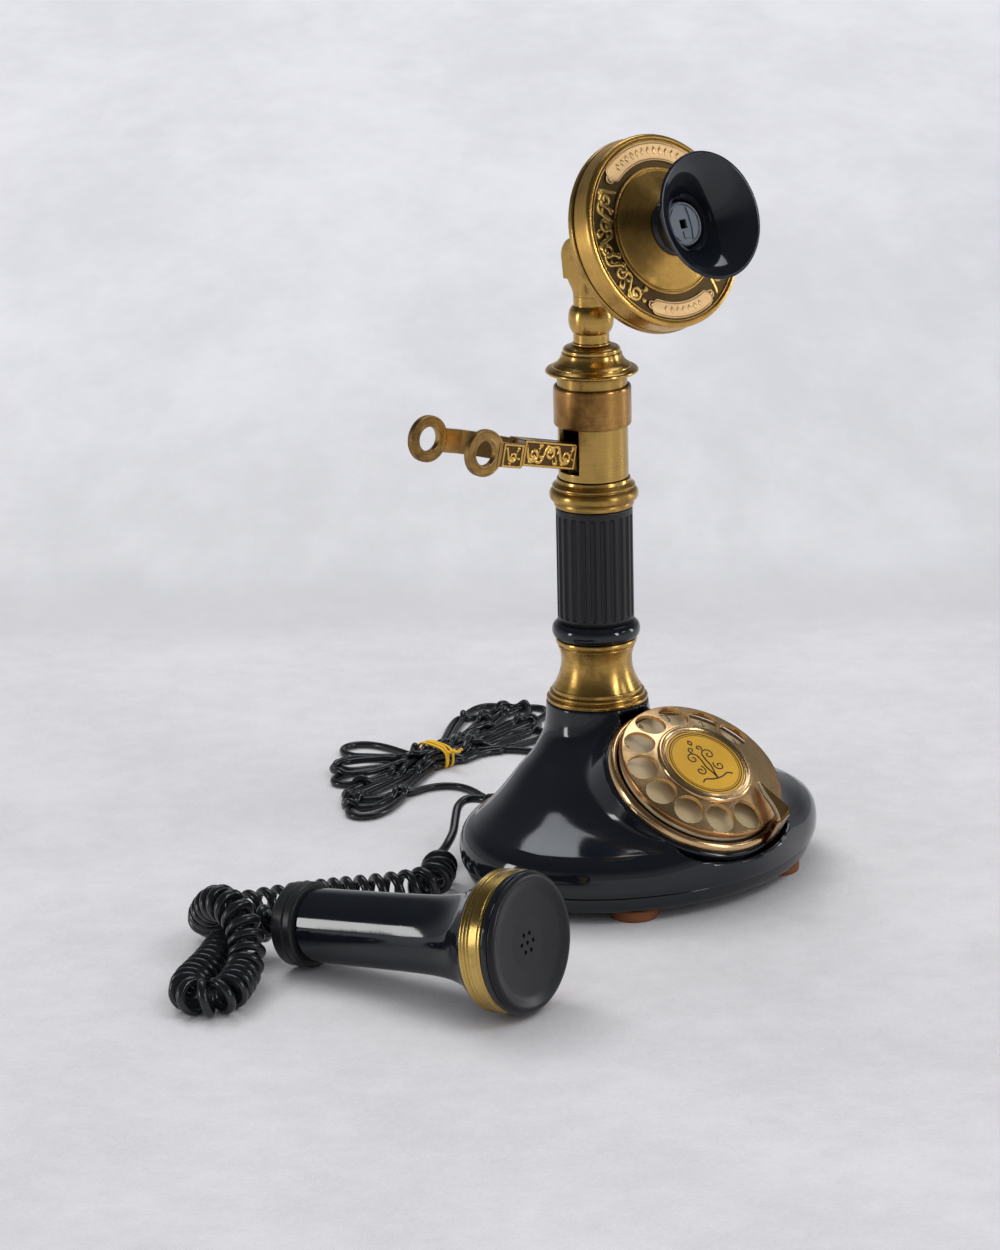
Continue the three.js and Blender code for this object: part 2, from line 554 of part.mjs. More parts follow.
node('earcap', cut(turned([[0, 116.6], [28.6, 116.6], [29.5, 117.4], [29.6, 119.6],
  [29, 121.2], [27.4, 122], [24.6, 121.7], [22.5, 120.6], [10, 119.4], [0, 119.1]], 30),
...capHoles.map(([x, y]) => disc(0.9, 115, 123, 6).translate(x, y, 0))), BLACK_SATIN, receiver);
node('receiver_capsule', disc(22, 104, 116.3, 24), STEEL, receiver);
node('receiver_gland', turned([[2.3, -6], [3.2, -6], [4.6, -0.6], [5, -0.3], [5, 9],
  [2.3, 9], [2.3, -6]], SMALL_SEG), BLACK_SATIN, receiver);

// ---------------------------------------------------------------- cords
const tailOut = receiverAxis.clone().negate();
function beyondTail(distance) {
  return RECEIVER_TAIL.clone().addScaledVector(tailOut, distance).toArray();
}
node('receiver_lead', cordTube([beyondTail(-8), beyondTail(-2), beyondTail(5),
  beyondTail(9.2)], CORD_R, 8, 4), CORD_BLACK);
const COIL_PATH = [beyondTail(9.5), [-189, 4.5, 14.8], [-194.5, 9.8, 11.6], [-201, 11, 9.6],
  [-208, 8.2, 8.7], [-214.5, 3.5, 8.5], [-221, -1.5, 8.5], [-229, -7, 8.5],
  [-238.6, -12.9, 8.5], [-246.5, -18.2, 8.5], [-252.6, -25, 8.5], [-253.4, -32.8, 8.5],
  [-247.5, -37.8, 8.5], [-240, -36.4, 8.5], [-233, -31.6, 8.5], [-225, -25.8, 9.6],
  [-217.5, -19.6, 13.4], [-212, -12, 19.6], [-209, -4, 24.8], [-207.5, 4, 26.6],
  [-206, 12, 26.2], [-204, 20, 22.6], [-201, 28, 16.6], [-196.6, 34.6, 11.2],
  [-190, 38.2, 8.8], [-181, 38.8, 8.5], [-168, 37, 8.5], [-150, 31, 8.5], [-135, 24.5, 8.5],
  [-122, 17.5, 8.5], [-112, 12.4, 8.5], [-103, 9.2, 8.5], [-95.5, 8, 8.5],
  [-88.5, 10.6, 8.5], [-81.7, 16.4, 8.5], [-75.7, 22.6, 8.5], [-70.5, 28.6, 8.6]];
node('curly_cord', cordTube(COIL_PATH, COIL_R, 10, 44), CORD_BLACK);
function throughBush(entry, out, distance) {
  return entry.clone().addScaledVector(out, distance).toArray();
}
const receiverEntry = [RECEIVER_CORD_ENTRY, RECEIVER_CORD_OUT];
node('base_lead', cordTube([[-70.3, 28.95, 8.6], [-64.5, 35.6, 9.2], [-58.5, 42, 10.8],
  [-51.5, 49, 13.6], [-44.5, 55.4, 16.6], [-38.5, 59.4, 18.8], [-33.1, 60.6, 19.7],
  [-28.6, 59.4, 20], [-25.7, 56.8, 20], throughBush(...receiverEntry, 13),
  throughBush(...receiverEntry, 10), throughBush(...receiverEntry, 6),
  throughBush(...receiverEntry, 0), throughBush(...receiverEntry, -6),
  throughBush(...receiverEntry, -9)], CORD_R, 8, 30),
CORD_BLACK);

const lineEntry = [LINE_CORD_ENTRY, LINE_CORD_OUT];
node('line_cord', cordTube([throughBush(...lineEntry, -8), throughBush(...lineEntry, -2),
  throughBush(...lineEntry, 5), throughBush(...lineEntry, 11), [0.4, 59.5, 17.4],
  [2, 66.5, 10.6], [5, 75, 4], [9, 84, 1.8], [14, 95, 1.7], [19, 108, 1.7], [23, 120, 1.7],
  [26.4, 131.6, 1.7]], LINE_R, 8, 24), CORD_BLACK);
const hankOutline = new THREE.Shape();
hankOutline.moveTo(-50, 124);
hankOutline.bezierCurveTo(-62, 106, -30, 104, -16, 116);
hankOutline.bezierCurveTo(4, 132, 22, 134, 38, 136);
hankOutline.bezierCurveTo(72, 118, 116, 130, 130, 168);
hankOutline.bezierCurveTo(144, 206, 98, 214, 74, 196);
hankOutline.bezierCurveTo(56, 180, 46, 170, 34, 172);
hankOutline.bezierCurveTo(28, 200, 0, 216, -14, 196);
hankOutline.bezierCurveTo(-22, 180, -30, 146, -50, 124);
const HANK_TOP = 9;
const TIE_X = 34;
node('line_cord_hank', cut(plate(hankOutline, 0.3, HANK_TOP, 6),
  cut(block(TIE_X - 4, TIE_X + 4, 120, 190, -5, 20), block(0, 80, 139, 169, 1.8, 7.6))),
CORD_BLACK);
node('twist_tie', cut(block(TIE_X - 3.2, TIE_X + 3.2, 137.6, 170.4, 0.4, 8.9),
  block(TIE_X - 9, TIE_X + 9, 138.7, 169.3, 1.5, 7.9)), YELLOW_TIE);
node('line_plug', join(block(74.6, 85.4, 96, 114, 0.4, 7), block(76.4, 83.6, 88, 98, 0.4, 6),
  block(77.6, 82.4, 112, 123.6, 0.6, 5.4)), CLEAR_PLASTIC);

// ---------------------------------------------------------------- final frame
const WHOLE_SHIFT = new THREE.Vector3(57.57, 41.45, 0);
phone.position.copy(WHOLE_SHIFT);
const group = new THREE.Group();
group.add(phone);

export default group;
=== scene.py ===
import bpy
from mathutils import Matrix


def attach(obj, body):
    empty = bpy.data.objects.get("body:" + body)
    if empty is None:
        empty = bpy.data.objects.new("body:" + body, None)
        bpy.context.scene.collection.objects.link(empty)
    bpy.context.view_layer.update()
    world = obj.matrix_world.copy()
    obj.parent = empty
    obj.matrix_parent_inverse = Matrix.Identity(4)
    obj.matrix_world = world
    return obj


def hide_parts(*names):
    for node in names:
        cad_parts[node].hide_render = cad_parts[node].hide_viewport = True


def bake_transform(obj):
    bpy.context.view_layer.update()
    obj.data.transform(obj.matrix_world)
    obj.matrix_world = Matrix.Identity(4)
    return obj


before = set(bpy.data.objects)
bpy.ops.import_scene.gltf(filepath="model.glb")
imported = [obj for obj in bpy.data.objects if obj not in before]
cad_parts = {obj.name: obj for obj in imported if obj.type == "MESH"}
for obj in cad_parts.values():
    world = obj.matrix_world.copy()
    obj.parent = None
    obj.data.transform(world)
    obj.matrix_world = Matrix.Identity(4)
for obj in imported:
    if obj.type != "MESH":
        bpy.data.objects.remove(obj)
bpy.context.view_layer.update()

import math

import bmesh
import bpy
import numpy as np
from mathutils import Matrix, Vector

# A candlestick rotary telephone on a pale table: brass and black stand, tilting head,
# switch hook, dial, receiver lying at its side on a curly cord, and a tied line cord.
# Lengths below are in millimetres until a mesh or a matrix is made from them.
MM = 0.001
COLUMN_AXIS = Vector((57.57, 41.45, 0))  # where the column meets the table, in the row frame


def at(position=(0, 0, 0), rotation=None):
    """Matrix of a local frame whose origin is given from the foot of the column axis."""
    where = Matrix.Translation((Vector(position) + COLUMN_AXIS) * MM)
    return where @ rotation.to_4x4() if rotation else where


DIAL_CENTRE = Vector((0, -66.84, 55.87))
DIAL_TILT = math.radians(90 - 56.35)
HOOK_PIVOT_Z = 185
HOOK_LIFT = math.radians(13.8)
HEAD_PIVOT_Z = 275.5
HEAD_LEAN = math.radians(70)
RECEIVER_TAIL = Vector((-184.9, -11.1, 17.8))
RECEIVER_AZIMUTH = math.radians(-75.5)
RECEIVER_SLOPE = math.radians(6.5)

STAND = at()
DIAL = at(DIAL_CENTRE, Matrix.Rotation(DIAL_TILT, 3, "X"))
HOOK = at((0, 0, HOOK_PIVOT_Z), Matrix.Rotation(HOOK_LIFT, 3, "Y"))
HEAD = at((0, 0, HEAD_PIVOT_Z), Matrix.Rotation(HEAD_LEAN, 3, "X"))
receiver_axis = Vector((
    math.cos(RECEIVER_AZIMUTH) * math.cos(RECEIVER_SLOPE),
    math.sin(RECEIVER_AZIMUTH) * math.cos(RECEIVER_SLOPE),
    math.sin(RECEIVER_SLOPE),
))
receiver_side = Vector((0, 0, 1)).cross(receiver_axis).normalized()
receiver_up = receiver_axis.cross(receiver_side)
RECEIVER = at(RECEIVER_TAIL,
              Matrix((receiver_side, receiver_up, receiver_axis)).transposed())

# ---------------------------------------------------------------- camera
CAMERA_AZIMUTH = math.radians(-40.94)
CAMERA_ELEVATION = math.radians(16.12)
CAMERA_ROLL = math.radians(-1.31)
CAMERA_DISTANCE = 2001
CAMERA_SIDE = -42.7
CAMERA_AIM_Z = 109.3
LENS = 129.66
camera_back = Vector((
    math.sin(CAMERA_AZIMUTH) * math.cos(CAMERA_ELEVATION),
    -math.cos(CAMERA_AZIMUTH) * math.cos(CAMERA_ELEVATION),
    math.sin(CAMERA_ELEVATION),
))
level_right = Vector((math.cos(CAMERA_AZIMUTH), math.sin(CAMERA_AZIMUTH), 0))
level_up = camera_back.cross(level_right)
camera_right = level_right * math.cos(CAMERA_ROLL) + level_up * math.sin(CAMERA_ROLL)
camera_up = camera_back.cross(camera_right)
camera = bpy.data.objects.new("camera", bpy.data.cameras.new("camera"))
bpy.context.scene.collection.objects.link(camera)
camera_target = level_right * CAMERA_SIDE + Vector((0, 0, CAMERA_AIM_Z))
camera.matrix_world = at(
    camera_target + camera_back * CAMERA_DISTANCE,
    Matrix((camera_right, camera_up, camera_back)).transposed(),
)
camera.data.lens = LENS
camera.data.sensor_width = 36
camera.data.clip_start = 0.05
camera.data.clip_end = 60
bpy.context.scene.camera = camera


# ---------------------------------------------------------------- node helpers
class Nodes:
    """Short way to write a material's node tree."""

    def __init__(self, name):
        self.material = bpy.data.materials.new(name)
        self.material.use_nodes = True
        self.tree = self.material.node_tree
        self.shader = self.tree.nodes["Principled BSDF"]

    def add(self, kind, settings=None, **sockets):
        node = self.tree.nodes.new("ShaderNode" + kind)
        for key, value in (settings or {}).items():
            setattr(node, key, value)
        for key, value in sockets.items():
            self.put(node.inputs[int(key[1:]) if key[1:].isdigit() else key.replace("_", " ")],
                     value)
        return node

    def put(self, socket, value):
        if isinstance(value, bpy.types.NodeSocket):
            self.tree.links.new(value, socket)
        else:
            socket.default_value = value

    def math(self, operation, a, b=0.0, clamp=False):
        node = self.add("Math", {"operation": operation, "use_clamp": clamp})
        self.put(node.inputs[0], a)
        self.put(node.inputs[1], b)
        return node.outputs[0]

    def mix(self, amount, a, b):
        node = self.add("Mix", {"data_type": "RGBA"})
        self.put(node.inputs[0], amount)
        self.put(node.inputs[6], a)
        self.put(node.inputs[7], b)
        return node.outputs[2]

    def step(self, value, low, high, to_low=0.0, to_high=1.0):
        node = self.add("MapRange", {"interpolation_type": "SMOOTHSTEP"})
        for socket, number in zip(node.inputs, (value, low, high, to_low, to_high)):
            self.put(socket, number)
        return node.outputs[0]

    def noise(self, vector, scale, detail=4.0, roughness=0.55, **settings):
        node = self.add("TexNoise", settings)
        self.put(node.inputs["Vector"], vector)
        self.put(node.inputs["Scale"], scale)
        self.put(node.inputs["Detail"], detail)
        self.put(node.inputs["Roughness"], roughness)
        return node.outputs[0]

    def own(self):
        return self.add("TexCoord").outputs["Object"]

    def bump(self, height, strength, distance):
        node = self.add("Bump")
        self.put(node.inputs["Strength"], strength)
        self.put(node.inputs["Distance"], distance)
        self.put(node.inputs["Height"], height)
        return node.outputs[0]

    def round_axis(self, fine, along=0.6):
        """Coordinates that change fast along and across a turned piece, slowly round it."""
        parts = self.add("SeparateXYZ", i0=self.own())
        x, y, z = parts.outputs
        radius = self.math("SQRT", self.math("ADD", self.math("MULTIPLY", x, x),
                                             self.math("MULTIPLY", y, y)))
        safe = self.math("MAXIMUM", radius, 0.0001)
        joined = self.add("CombineXYZ")
        self.put(joined.inputs[0], self.math("MULTIPLY", self.math("DIVIDE", x, safe), along))
        self.put(joined.inputs[1], self.math("MULTIPLY", self.math("DIVIDE", y, safe), along))
        self.put(joined.inputs[2], self.math(
            "MULTIPLY", self.math("ADD", z, self.math("MULTIPLY", radius, 1.7)), fine))
        return joined.outputs[0]


def rgb(red, green, blue):
    """sRGB bytes to a linear colour with alpha."""
    def linear(c):
        c /= 255
        return c / 12.92 if c <= 0.04045 else ((c + 0.055) / 1.055) ** 2.4
    return (linear(red), linear(green), linear(blue), 1.0)


# ---------------------------------------------------------------- materials
def brass(name, bright, dark, patina=0.45, roughness=0.3, brushed=True, relief=False,
          hollow_patina_and_shade=0.75):
    """Antique brass: bright metal under a brown patina that stays in the hollows, with painted
    shade from an occlusion term.
    """
    n = Nodes(name)
    own = n.own()
    cloud = n.noise(own, 38.0, 5.0, 0.6)
    fleck = n.noise(own, 240.0, 4.0, 0.65)
    wear = n.math("ADD", n.math("MULTIPLY", cloud, 0.75), n.math("MULTIPLY", fleck, 0.25))
    amount = n.step(wear, 0.62 - 0.35 * patina, 0.82 - 0.3 * patina)
    amount = n.math("MULTIPLY", amount, 0.35 + 0.5 * patina)
    # painted shade: an ambient-occlusion term darkens the metal in hollows, between parts and
    # under overhangs, on top of the real patina
    occlusion = n.add("AmbientOcclusion", {"samples": 6, "only_local": False})
    occlusion.inputs["Distance"].default_value = 0.006
    hollow_patina_and_shade_mask = n.step(occlusion.outputs["AO"], 0.35, 0.85, hollow_patina_and_shade, 0.0)
    amount = n.math("MAXIMUM", amount, hollow_patina_and_shade_mask)
    if relief:
        # the stored relief values darken low ground: patina in the hollows, and on the plates
        # painted shade round the lozenges and rivets
        height = n.add("Attribute", {"attribute_name": "raised"}).outputs["Fac"]
        low = n.step(height, 0.15, 0.75, 0.92, 0.0)
        amount = n.math("MAXIMUM", n.math("MULTIPLY", amount, 0.5), low)
    lines = n.noise(n.round_axis(2600.0), 1.0, 3.0, 0.6)
    shade = n.mix(amount, bright, dark)
    tint = n.add("HueSaturation", i4=shade)
    n.put(tint.inputs["Value"], n.step(lines, 0.25, 0.75, 0.9, 1.08))
    n.put(n.shader.inputs["Base Color"], tint.outputs[0])
    n.shader.inputs["Metallic"].default_value = 1.0
    rough = n.math("ADD", n.math("MULTIPLY", amount, 0.22),
                   n.step(cloud, 0.3, 0.7, roughness - 0.05, roughness + 0.07))
    n.put(n.shader.inputs["Roughness"], rough)
    if brushed:
        n.shader.inputs["Anisotropic"].default_value = 0.6
        n.shader.inputs["Anisotropic Rotation"].default_value = 0.25
        tangent = n.add("Tangent", {"direction_type": "RADIAL", "axis": "Z"})
        n.put(n.shader.inputs["Tangent"], tangent.outputs[0])
        grain = n.math("ADD", n.math("MULTIPLY", lines, 0.7), n.math("MULTIPLY", fleck, 0.3))
    else:
        grain = fleck
    n.put(n.shader.inputs["Normal"], n.bump(grain, 0.35, 0.00012))
    return n.material


def plastic(name, colour, roughness, smudge=0.05, grain=0.0, ior=1.5):
    """Moulded black plastic with faint smudges and a little orange peel."""
    n = Nodes(name)
    own = n.own()
    cloud = n.noise(own, 30.0, 5.0, 0.6)
    fine = n.noise(own, 900.0, 2.0, 0.5)
    n.put(n.shader.inputs["Base Color"],
          n.mix(n.step(cloud, 0.35, 0.75, 0.0, 0.5), colour,
                tuple(min(1.0, c * 1.5) for c in colour[:3]) + (1.0,)))
    n.put(n.shader.inputs["Roughness"],
          n.step(cloud, 0.35, 0.7, roughness, roughness + smudge))
    n.shader.inputs["IOR"].default_value = ior
    wave = n.noise(own, 60.0, 2.0, 0.5)
    height = n.math("ADD", n.math("MULTIPLY", wave, 1.0), n.math("MULTIPLY", fine, grain))
    n.put(n.shader.inputs["Normal"], n.bump(height, 0.25, 0.0002))
    return n.material


BRASS = brass("antique_brass", rgb(194, 156, 86), rgb(84, 58, 26), patina=0.5,
              roughness=0.25)
# painted shade: a strong occlusion term darkens the tube under the column cap's overhang
TUBE_BRASS = brass("tube_brass", rgb(184, 150, 84), rgb(84, 60, 30), patina=0.35,
                   roughness=0.24, hollow_patina_and_shade=0.9)
DARK_BRASS = brass("patina_brass", rgb(172, 130, 74), rgb(84, 56, 32), patina=0.6,
                   roughness=0.28)
RELIEF_BRASS = brass("relief_brass", rgb(226, 184, 104), rgb(58, 46, 34), patina=0.2,
                     brushed=False, relief=True)
GLOSS = plastic("gloss_black", (0.006, 0.0075, 0.011, 1.0), 0.07, 0.05, 0.15)
SATIN = plastic("satin_black", (0.014, 0.0145, 0.016, 1.0), 0.34, 0.08, 0.8, ior=1.36)
HEAD_BRASS = brass("head_brass", rgb(212, 168, 90), rgb(92, 60, 26), patina=0.42,
                   roughness=0.27)
PLATE = brass("plate_brass", rgb(216, 178, 128), rgb(74, 52, 36), patina=0.05,
              roughness=0.34, brushed=False, relief=True)
HOOK_BRASS = brass("hook_brass", rgb(176, 142, 84), rgb(92, 66, 42), patina=0.7,
                   roughness=0.3, brushed=False)
HOOK_RELIEF = brass("hook_relief", rgb(222, 178, 96), rgb(62, 44, 36), patina=0.1,
                    roughness=0.24, brushed=False, relief=True)
WHEEL = brass("wheel_brass", rgb(242, 202, 148), rgb(116, 82, 52), patina=0.4, roughness=0.27,
              hollow_patina_and_shade=0.35)
WHEEL_SIDE = brass("wheel_side", rgb(186, 138, 88), rgb(100, 66, 40), patina=0.5)
CHAMPAGNE_RING = brass("champagne_ring", rgb(226, 190, 140), rgb(128, 88, 52), patina=0.15,
                       roughness=0.22)
STOP_BRASS = brass("stop_brass", rgb(176, 132, 80), rgb(104, 70, 42), patina=0.15,
                   roughness=0.2, brushed=False)
# painted highlight: the ridge's brass is far lighter than the stop's own, partly its polish and
# partly a stand-in for the bright glint along the edge
STOP_EDGE_POLISH_AND_HIGHLIGHT = brass("stop_edge_polish_and_painted_highlight", rgb(252, 236, 204), rgb(190, 160, 120), patina=0.0,
                  roughness=0.3, brushed=False, hollow_patina_and_shade=0.0)
NUMBER_PLATE = plastic("number_plate_metal", rgb(190, 172, 136), 0.3, 0.1, 0.3)
LABEL = plastic("label_yellow", rgb(194, 146, 8), 0.36, 0.1, 0.4)
YELLOW = plastic("tie_yellow", rgb(232, 178, 24), 0.4, 0.1, 0.6)
LABEL_GOLD = brass("contact_gold", rgb(226, 188, 96), rgb(150, 110, 50), patina=0.1,
                   brushed=False)
CLEAR = plastic("clear_plastic", rgb(206, 210, 212), 0.12, 0.05, 0.2)
INK = plastic("printed_ink", (0.012, 0.011, 0.01, 1.0), 0.5, 0.1)
BAND_BRASS = brass("band_brass", rgb(204, 172, 100), rgb(88, 62, 30), patina=0.25,
                   roughness=0.26)
CAP = plastic("cap_black", (0.012, 0.0125, 0.0145, 1.0), 0.26, 0.1, 0.5, ior=1.3)
GREY_PLATE = plastic("grey_plate", (0.12, 0.14, 0.17, 1.0), 0.3, 0.1, 0.3)
FOOT = plastic("foot_pad", rgb(118, 68, 32), 0.85, 0.1, 6.0)
CORD = plastic("cord_black", (0.008, 0.009, 0.011, 1.0), 0.2, 0.06, 0.4)


# ---------------------------------------------------------------- mesh helpers
# these turn a shape drawn in XY and raised along Z so that it is raised along X or Y
ACROSS_X = Matrix(((0, 0, 1, 0), (1, 0, 0, 0), (0, 1, 0, 0), (0, 0, 0, 1)))
ACROSS_Y = Matrix(((1, 0, 0, 0), (0, 0, -1, 0), (0, 1, 0, 0), (0, 0, 0, 1)))


def fillet(profile, radius, steps=4, closed=False):
    """The profile with each corner rounded. An entry may carry its own radius third."""
    points = [Vector(p[:2]) for p in profile]
    radii = [p[2] if len(p) > 2 else radius for p in profile]
    count = len(points)
    out = []
    for i, p in enumerate(points):
        if not closed and i in (0, count - 1):
            out.append(p)
            continue
        before, after = points[i - 1] - p, points[(i + 1) % count] - p
        reach = min(radii[i], 0.48 * before.length, 0.48 * after.length)
        turn = before.angle(after, math.pi) if before.length and after.length else math.pi
        if reach < 1e-6 or turn > math.radians(176):
            out.append(p)
            continue
        start, end = p + before.normalized() * reach, p + after.normalized() * reach
        for k in range(steps + 1):
            t = k / steps
            out.append(start * (1 - t) ** 2 + p * 2 * t * (1 - t) + end * t * t)
    return [tuple(p) for p in out]


def smooth(points, per=6):
    """A smooth open curve through the points (any dimension), as a list of tuples."""
    p = np.array(points, float)
    ends = np.vstack([2 * p[0] - p[1], p, 2 * p[-1] - p[-2]])
    out = []
    for i in range(1, len(ends) - 2):
        a, b, c, d = ends[i - 1:i + 3]
        for k in range(per):
            t = k / per
            out.append(0.5 * (2 * b + (c - a) * t + (2 * a - 5 * b + 4 * c - d) * t * t
                              + (3 * b - a - 3 * c + d) * t ** 3))
    out.append(p[-1])
    return [tuple(q) for q in out]


def lathe(profile, steps=144, closed=False):
    """Vertices and faces of a profile of (radius, height) turned about local Z."""
    turn = np.linspace(0, 2 * math.pi, steps, endpoint=False)
    verts, rings = [], []
    for r, z in profile:
        if r < 1e-6:
            rings.append([len(verts)])
            verts.append((0.0, 0.0, z))
        else:
            rings.append(list(range(len(verts), len(verts) + steps)))
            verts.extend(zip(r * np.cos(turn), r * np.sin(turn), [z] * steps))
    faces = []
    pairs = list(zip(rings, rings[1:] + ([rings[0]] if closed else [])))
    for a, b in pairs[:len(rings) if closed else len(rings) - 1]:
        for i in range(steps):
            j = (i + 1) % steps
            if len(a) == 1 and len(b) == 1:
                continue
            if len(a) == 1:
                faces.append((a[0], b[i], b[j]))
            elif len(b) == 1:
                faces.append((a[i], b[0], a[j]))
            else:
                faces.append((a[i], b[i], b[j], a[j]))
    return verts, faces


def grid(rows, columns, around=False, ring=False):
    """Quad faces over rows x columns points, optionally closed in either direction."""
    faces = []
    for i in range(rows if ring else rows - 1):
        for j in range(columns if around else columns - 1):
            a, b = i * columns, ((i + 1) % rows) * columns
            k = (j + 1) % columns
            faces.append((a + j, b + j, b + k, a + k))
    return faces


def piece(name, shape, place, body, material, stands_for=(), bevel=0.0, weighted=True,
          slot=None, merge=0.0, fixed=False):
    """A mesh piece from (vertices in mm, faces), riding on a CAD body if one is named."""
    verts, faces = shape
    mesh = bpy.data.meshes.new(name)
    mesh.from_pydata([tuple(c * MM for c in v) for v in verts], [], faces)
    work = bmesh.new()
    work.from_mesh(mesh)
    if merge:
        bmesh.ops.remove_doubles(work, verts=work.verts, dist=merge * MM)
    if not fixed:
        bmesh.ops.recalc_face_normals(work, faces=work.faces)
    work.to_mesh(mesh)
    work.free()
    mesh.polygons.foreach_set("use_smooth", [True] * len(mesh.polygons))
    mesh.materials.append(material)
    obj = bpy.data.objects.new(name, mesh)
    bpy.context.scene.collection.objects.link(obj)
    obj.matrix_world = place
    if bevel:
        edge = obj.modifiers.new("edges", "BEVEL")
        edge.width = bevel * MM
        edge.segments = 3
        edge.limit_method = "ANGLE"
        edge.angle_limit = math.radians(35)
        edge.harden_normals = False
    if weighted:
        normals = obj.modifiers.new("normals", "WEIGHTED_NORMAL")
        normals.keep_sharp = False
        normals.weight = 60
    if body:
        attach(obj, body)
    if stands_for:
        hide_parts(*([stands_for] if isinstance(stands_for, str) else stands_for))
    return obj


def turned(name, profile, place, body, material, stands_for=(), radius=0.4, closed=False,
           steps=144, **more):
    """A lathe piece whose corners are rounded by the given radius."""
    shape = lathe(fillet(profile, radius, closed=closed), steps, closed)
    return piece(name, shape, place, body, material, stands_for, **more)


def combine(*shapes):
    """Several (vertices, faces) as one."""
    verts, faces = [], []
    for v, f in shapes:
        offset = len(verts)
        verts.extend(tuple(p) for p in v)
        faces.extend(tuple(i + offset for i in face) for face in f)
    return verts, faces


def moved(shape, matrix):
    """The shape with its vertices put through the matrix."""
    verts, faces = shape
    return [tuple(matrix @ Vector(v)) for v in verts], faces


def read_back(work):
    """The (vertices, faces) of a bmesh, which is freed."""
    work.verts.index_update()
    shape = ([tuple(v.co) for v in work.verts],
             [tuple(v.index for v in f.verts) for f in work.faces])
    work.free()
    return shape


def circle(radius, count, x=0.0, y=0.0):
    """Points of a circle in XY."""
    turn = [2 * math.pi * i / count for i in range(count)]
    return [(x + radius * math.cos(t), y + radius * math.sin(t)) for t in turn]


def loop_edges(work, loop, z):
    """A closed ring of edges through the loop's points at height z."""
    made = [work.verts.new((x, y, z)) for x, y in loop]
    return [work.edges.new((made[i - 1], made[i])) for i in range(len(made))]


def prism(outline, low, high, hole=None):
    """A flat outline in XY raised from low to high; hole is an inner outline."""
    work = bmesh.new()
    edges = [e for loop in (outline, hole) if loop for e in loop_edges(work, loop, low)]
    made = bmesh.ops.triangle_fill(work, use_beauty=True, edges=edges)
    flat = [g for g in made["geom"] if isinstance(g, bmesh.types.BMFace)]
    raised = bmesh.ops.extrude_face_region(work, geom=flat)["geom"]
    up = [g for g in raised if isinstance(g, bmesh.types.BMVert)]
    bmesh.ops.translate(work, verts=up, vec=(0, 0, high - low))
    bmesh.ops.dissolve_limit(work, angle_limit=0.01, verts=work.verts, edges=work.edges)
    return read_back(work)


def tube_along(points, radius, sides=16, caps=True):
    """A round tube along points; radius is one number or one per point."""
    p = np.array(points, float)
    radii = np.full(len(p), radius, float) if np.isscalar(radius) else np.array(radius)
    ahead = np.gradient(p, axis=0)
    ahead /= np.linalg.norm(ahead, axis=1)[:, None]
    side = np.cross(ahead[0], (0.3, 0.2, 1.0))
    side /= np.linalg.norm(side)
    turn = np.linspace(0, 2 * math.pi, sides, endpoint=False)
    verts = []
    for i, here in enumerate(p):
        side = side - ahead[i] * side.dot(ahead[i])
        side /= np.linalg.norm(side)
        other = np.cross(ahead[i], side)
        ring = here + radii[i] * (np.cos(turn)[:, None] * side + np.sin(turn)[:, None] * other)
        verts.extend(map(tuple, ring))
    faces = grid(len(p), sides, around=True)
    if caps:
        faces.append(tuple(range(sides)))
        last = (len(p) - 1) * sides
        faces.append(tuple(range(last + sides - 1, last - 1, -1)))
    return verts, faces


def run_length(points):
    """Length of the polyline through the points."""
    return float(np.linalg.norm(np.diff(np.array(points, float), axis=0), axis=1).sum())


def even(points, step):
    """Points resampled at an even spacing along their polyline."""
    p = np.array(points, float)
    run = np.concatenate([[0], np.cumsum(np.linalg.norm(np.diff(p, axis=0), axis=1))])
    count = max(2, int(round(run[-1] / step)) + 1)
    where = np.linspace(0, run[-1], count)
    return np.stack([np.interp(where, run, p[:, k]) for k in range(p.shape[1])], axis=1)


# ---------------------------------------------------------------- cords
WIRE_R = 2.0
COIL_R = 8.2
TURN_R = COIL_R - WIRE_R
FLOOR = 0.25  # how far the coil's lowest turns stay off the table
ROUTE_STEP = 0.5
POINTS_PER_TURN = 22
RECEIVER_BUSH = Vector((-21.7, 40.7, 20))
RECEIVER_BUSH_OUT = Vector((-0.2, 0.98, 0)).normalized()
LINE_BUSH = Vector((0, 43, 20))


def beyond_tail(distance):
    """A point on the receiver's axis, past its tail."""
    return tuple(RECEIVER_TAIL - receiver_axis * distance)


